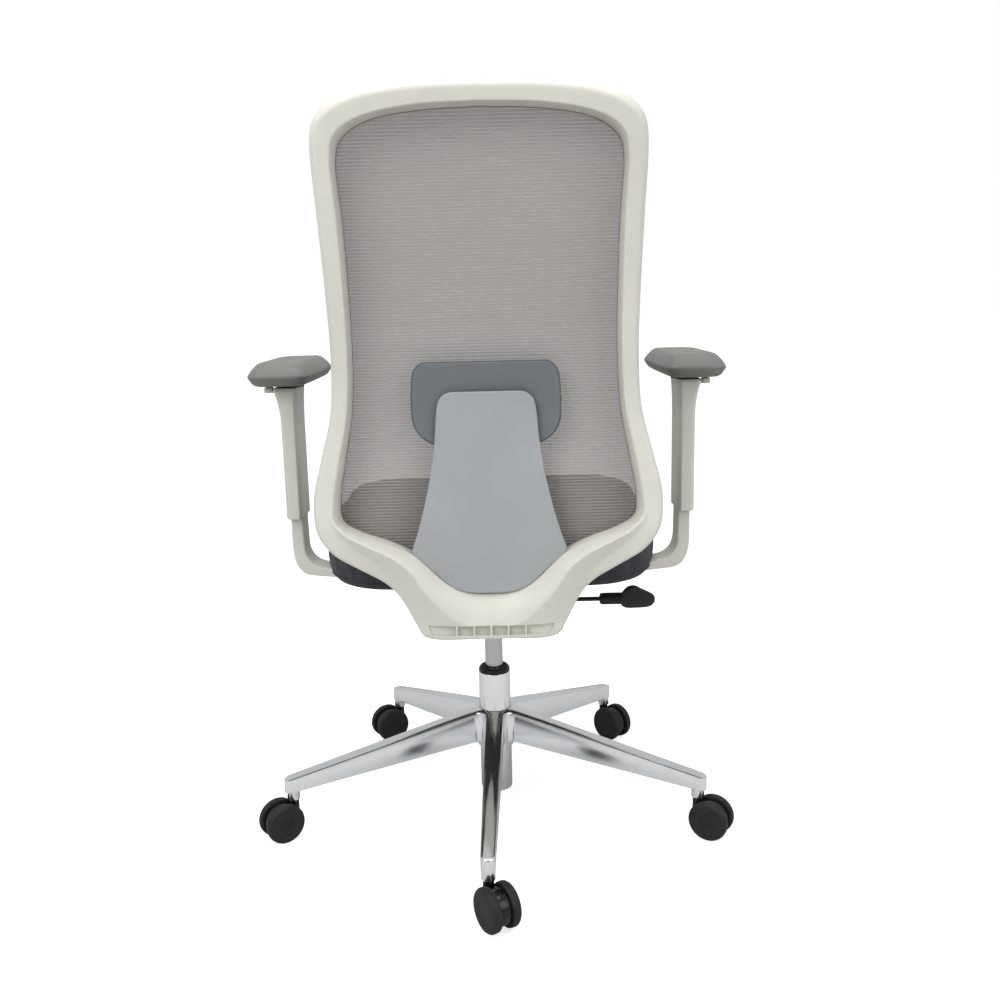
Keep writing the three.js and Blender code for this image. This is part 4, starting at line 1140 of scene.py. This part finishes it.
def lumbar_pad():
    """A bowed pad, with a dark bead round its rear edge that is painted shade: it stands for the shadow in
    the gap along the pad's edge.
    """
    bottom, top = LUMBAR_PAD["bottom"], LUMBAR_PAD["top"]

    def corner_cut(distance, radius):
        drop = radius - min(distance, radius)
        return radius - math.sqrt(radius ** 2 - drop ** 2)

    def half(height):
        along = 2 * (height - bottom) / (top - bottom) - 1
        corners = corner_cut(top - height, LUMBAR_PAD["top_corner"])
        corners += corner_cut(height - bottom, LUMBAR_PAD["bottom_corner"])
        return LUMBAR_PAD["half_width"] - LUMBAR_PAD["bow"] * along ** 2 - corners

    def rear(height):
        return mesh_y(height) + LUMBAR_PAD["rear"]

    shape = curved_plate(eased_levels(bottom, top, 80), half, rear, LUMBAR_PAD["thickness"], 3)
    dress(make("lumbar_pad_moulding", shape, 60), LUMBAR, "lumbar_grey", "lumbar", "lumbar_pad")
    # The dark bead is painted shade, laid where the pad's edge leaves a shadow gap.
    heights = eased_levels(bottom + 0.9, top - 0.9, 60)
    edge = [(half(height) - 0.9, rear(height) - 2.4, height) for height in heights]
    bead = tube(edge + [(-x, y, z) for x, y, z in reversed(edge)], 1.5, 8, closed=True)
    dress(make("lumbar_pad_shade_bead", bead, 60), LUMBAR_SHADE_BEAD, "lumbar_grey", "lumbar")


# ---- Studio

def floor():
    """A pale ground that glows for the camera alone, so that it meets the white surround unseen."""
    half = GROUND["half"]
    mesh = bpy.data.meshes.new("floor")
    mesh.from_pydata([(x, y, 0) for x, y in rectangle(-half, -half, half, half)], [], [(0, 1, 2, 3)])
    obj = add_object("floor", mesh)
    made = Finish("floor_pale", 0.8, specular=0.0)
    dark, light = [(GROUND[tone],) * 3 + (1,) for tone in ("dark", "light")]
    made.set("Base Color", made.blend(made.noise(2, 2), dark, light))
    made.shader.inputs["Emission Color"].default_value = (1, 1, 1, 1)
    seen = made.node("ShaderNodeLightPath").outputs["Is Camera Ray"]
    made.set("Emission Strength", made.math("MULTIPLY", seen, GROUND["glow"]))
    mesh.materials.append(made.material)


def world():
    """A white studio. Reflections also see a dark opening behind the camera."""
    made = bpy.data.worlds.new("studio")
    bpy.context.scene.world = made
    nodes = Nodes(made)
    nodes.tree.nodes.clear()
    direction = nodes.node("ShaderNodeTexCoord").outputs["Generated"]
    backward = nodes.node("ShaderNodeSeparateXYZ", {"Vector": direction}).outputs["Y"]
    fade = {"Value": backward, "From Min": SURROUND["dark_from"], "From Max": SURROUND["dark_by"],
            "To Min": 1.0, "To Max": SURROUND["dark"]}
    tone = nodes.node("ShaderNodeMapRange", fade, interpolation_type="SMOOTHSTEP").outputs["Result"]
    felt = nodes.node("ShaderNodeBackground", {"Color": tone, "Strength": SURROUND["strength"]})
    seen = nodes.node("ShaderNodeBackground", {"Color": (1, 1, 1, 1)})
    by_camera = nodes.node("ShaderNodeLightPath").outputs["Is Camera Ray"]
    mix = nodes.node("ShaderNodeMixShader", {"Fac": by_camera, 1: felt.outputs[0], 2: seen.outputs[0]})
    nodes.node("ShaderNodeOutputWorld", {"Surface": mix.outputs[0]})


def area_light(name, place, target, size, power):
    data = bpy.data.lights.new(name, "AREA")
    data.shape = "SQUARE"
    data.size = size
    data.energy = power
    obj = add_object(name, data)
    obj.location = place
    obj.rotation_euler = (Vector(target) - Vector(place)).to_track_quat("-Z", "Y").to_euler()


def camera():
    data = bpy.data.cameras.new("camera")
    data.sensor_width = 36
    data.lens = CAMERA["lens"]
    obj = add_object("camera", data)
    aim = turned(180, "Z") @ turned(90 - CAMERA["down"], "X") @ turned(CAMERA["roll"], "Z")
    obj.matrix_world = Matrix.Translation(CAMERA["place"]) @ aim
    bpy.context.scene.camera = obj


camera()
world()
for light in LIGHTS:
    area_light(*light)
floor()
base_star()
castors()
column()
tension_knob()
tilt_spring()
lever()
kept_nodes()
seat_piping(seat_cushion())
seat_pan()
arms()
back_frame()
mesh_carrier()
back_mesh()
lumbar_plate()
lumbar_pad()

bpy.context.scene.view_settings.view_transform = "Standard"
bpy.context.view_layer.update()
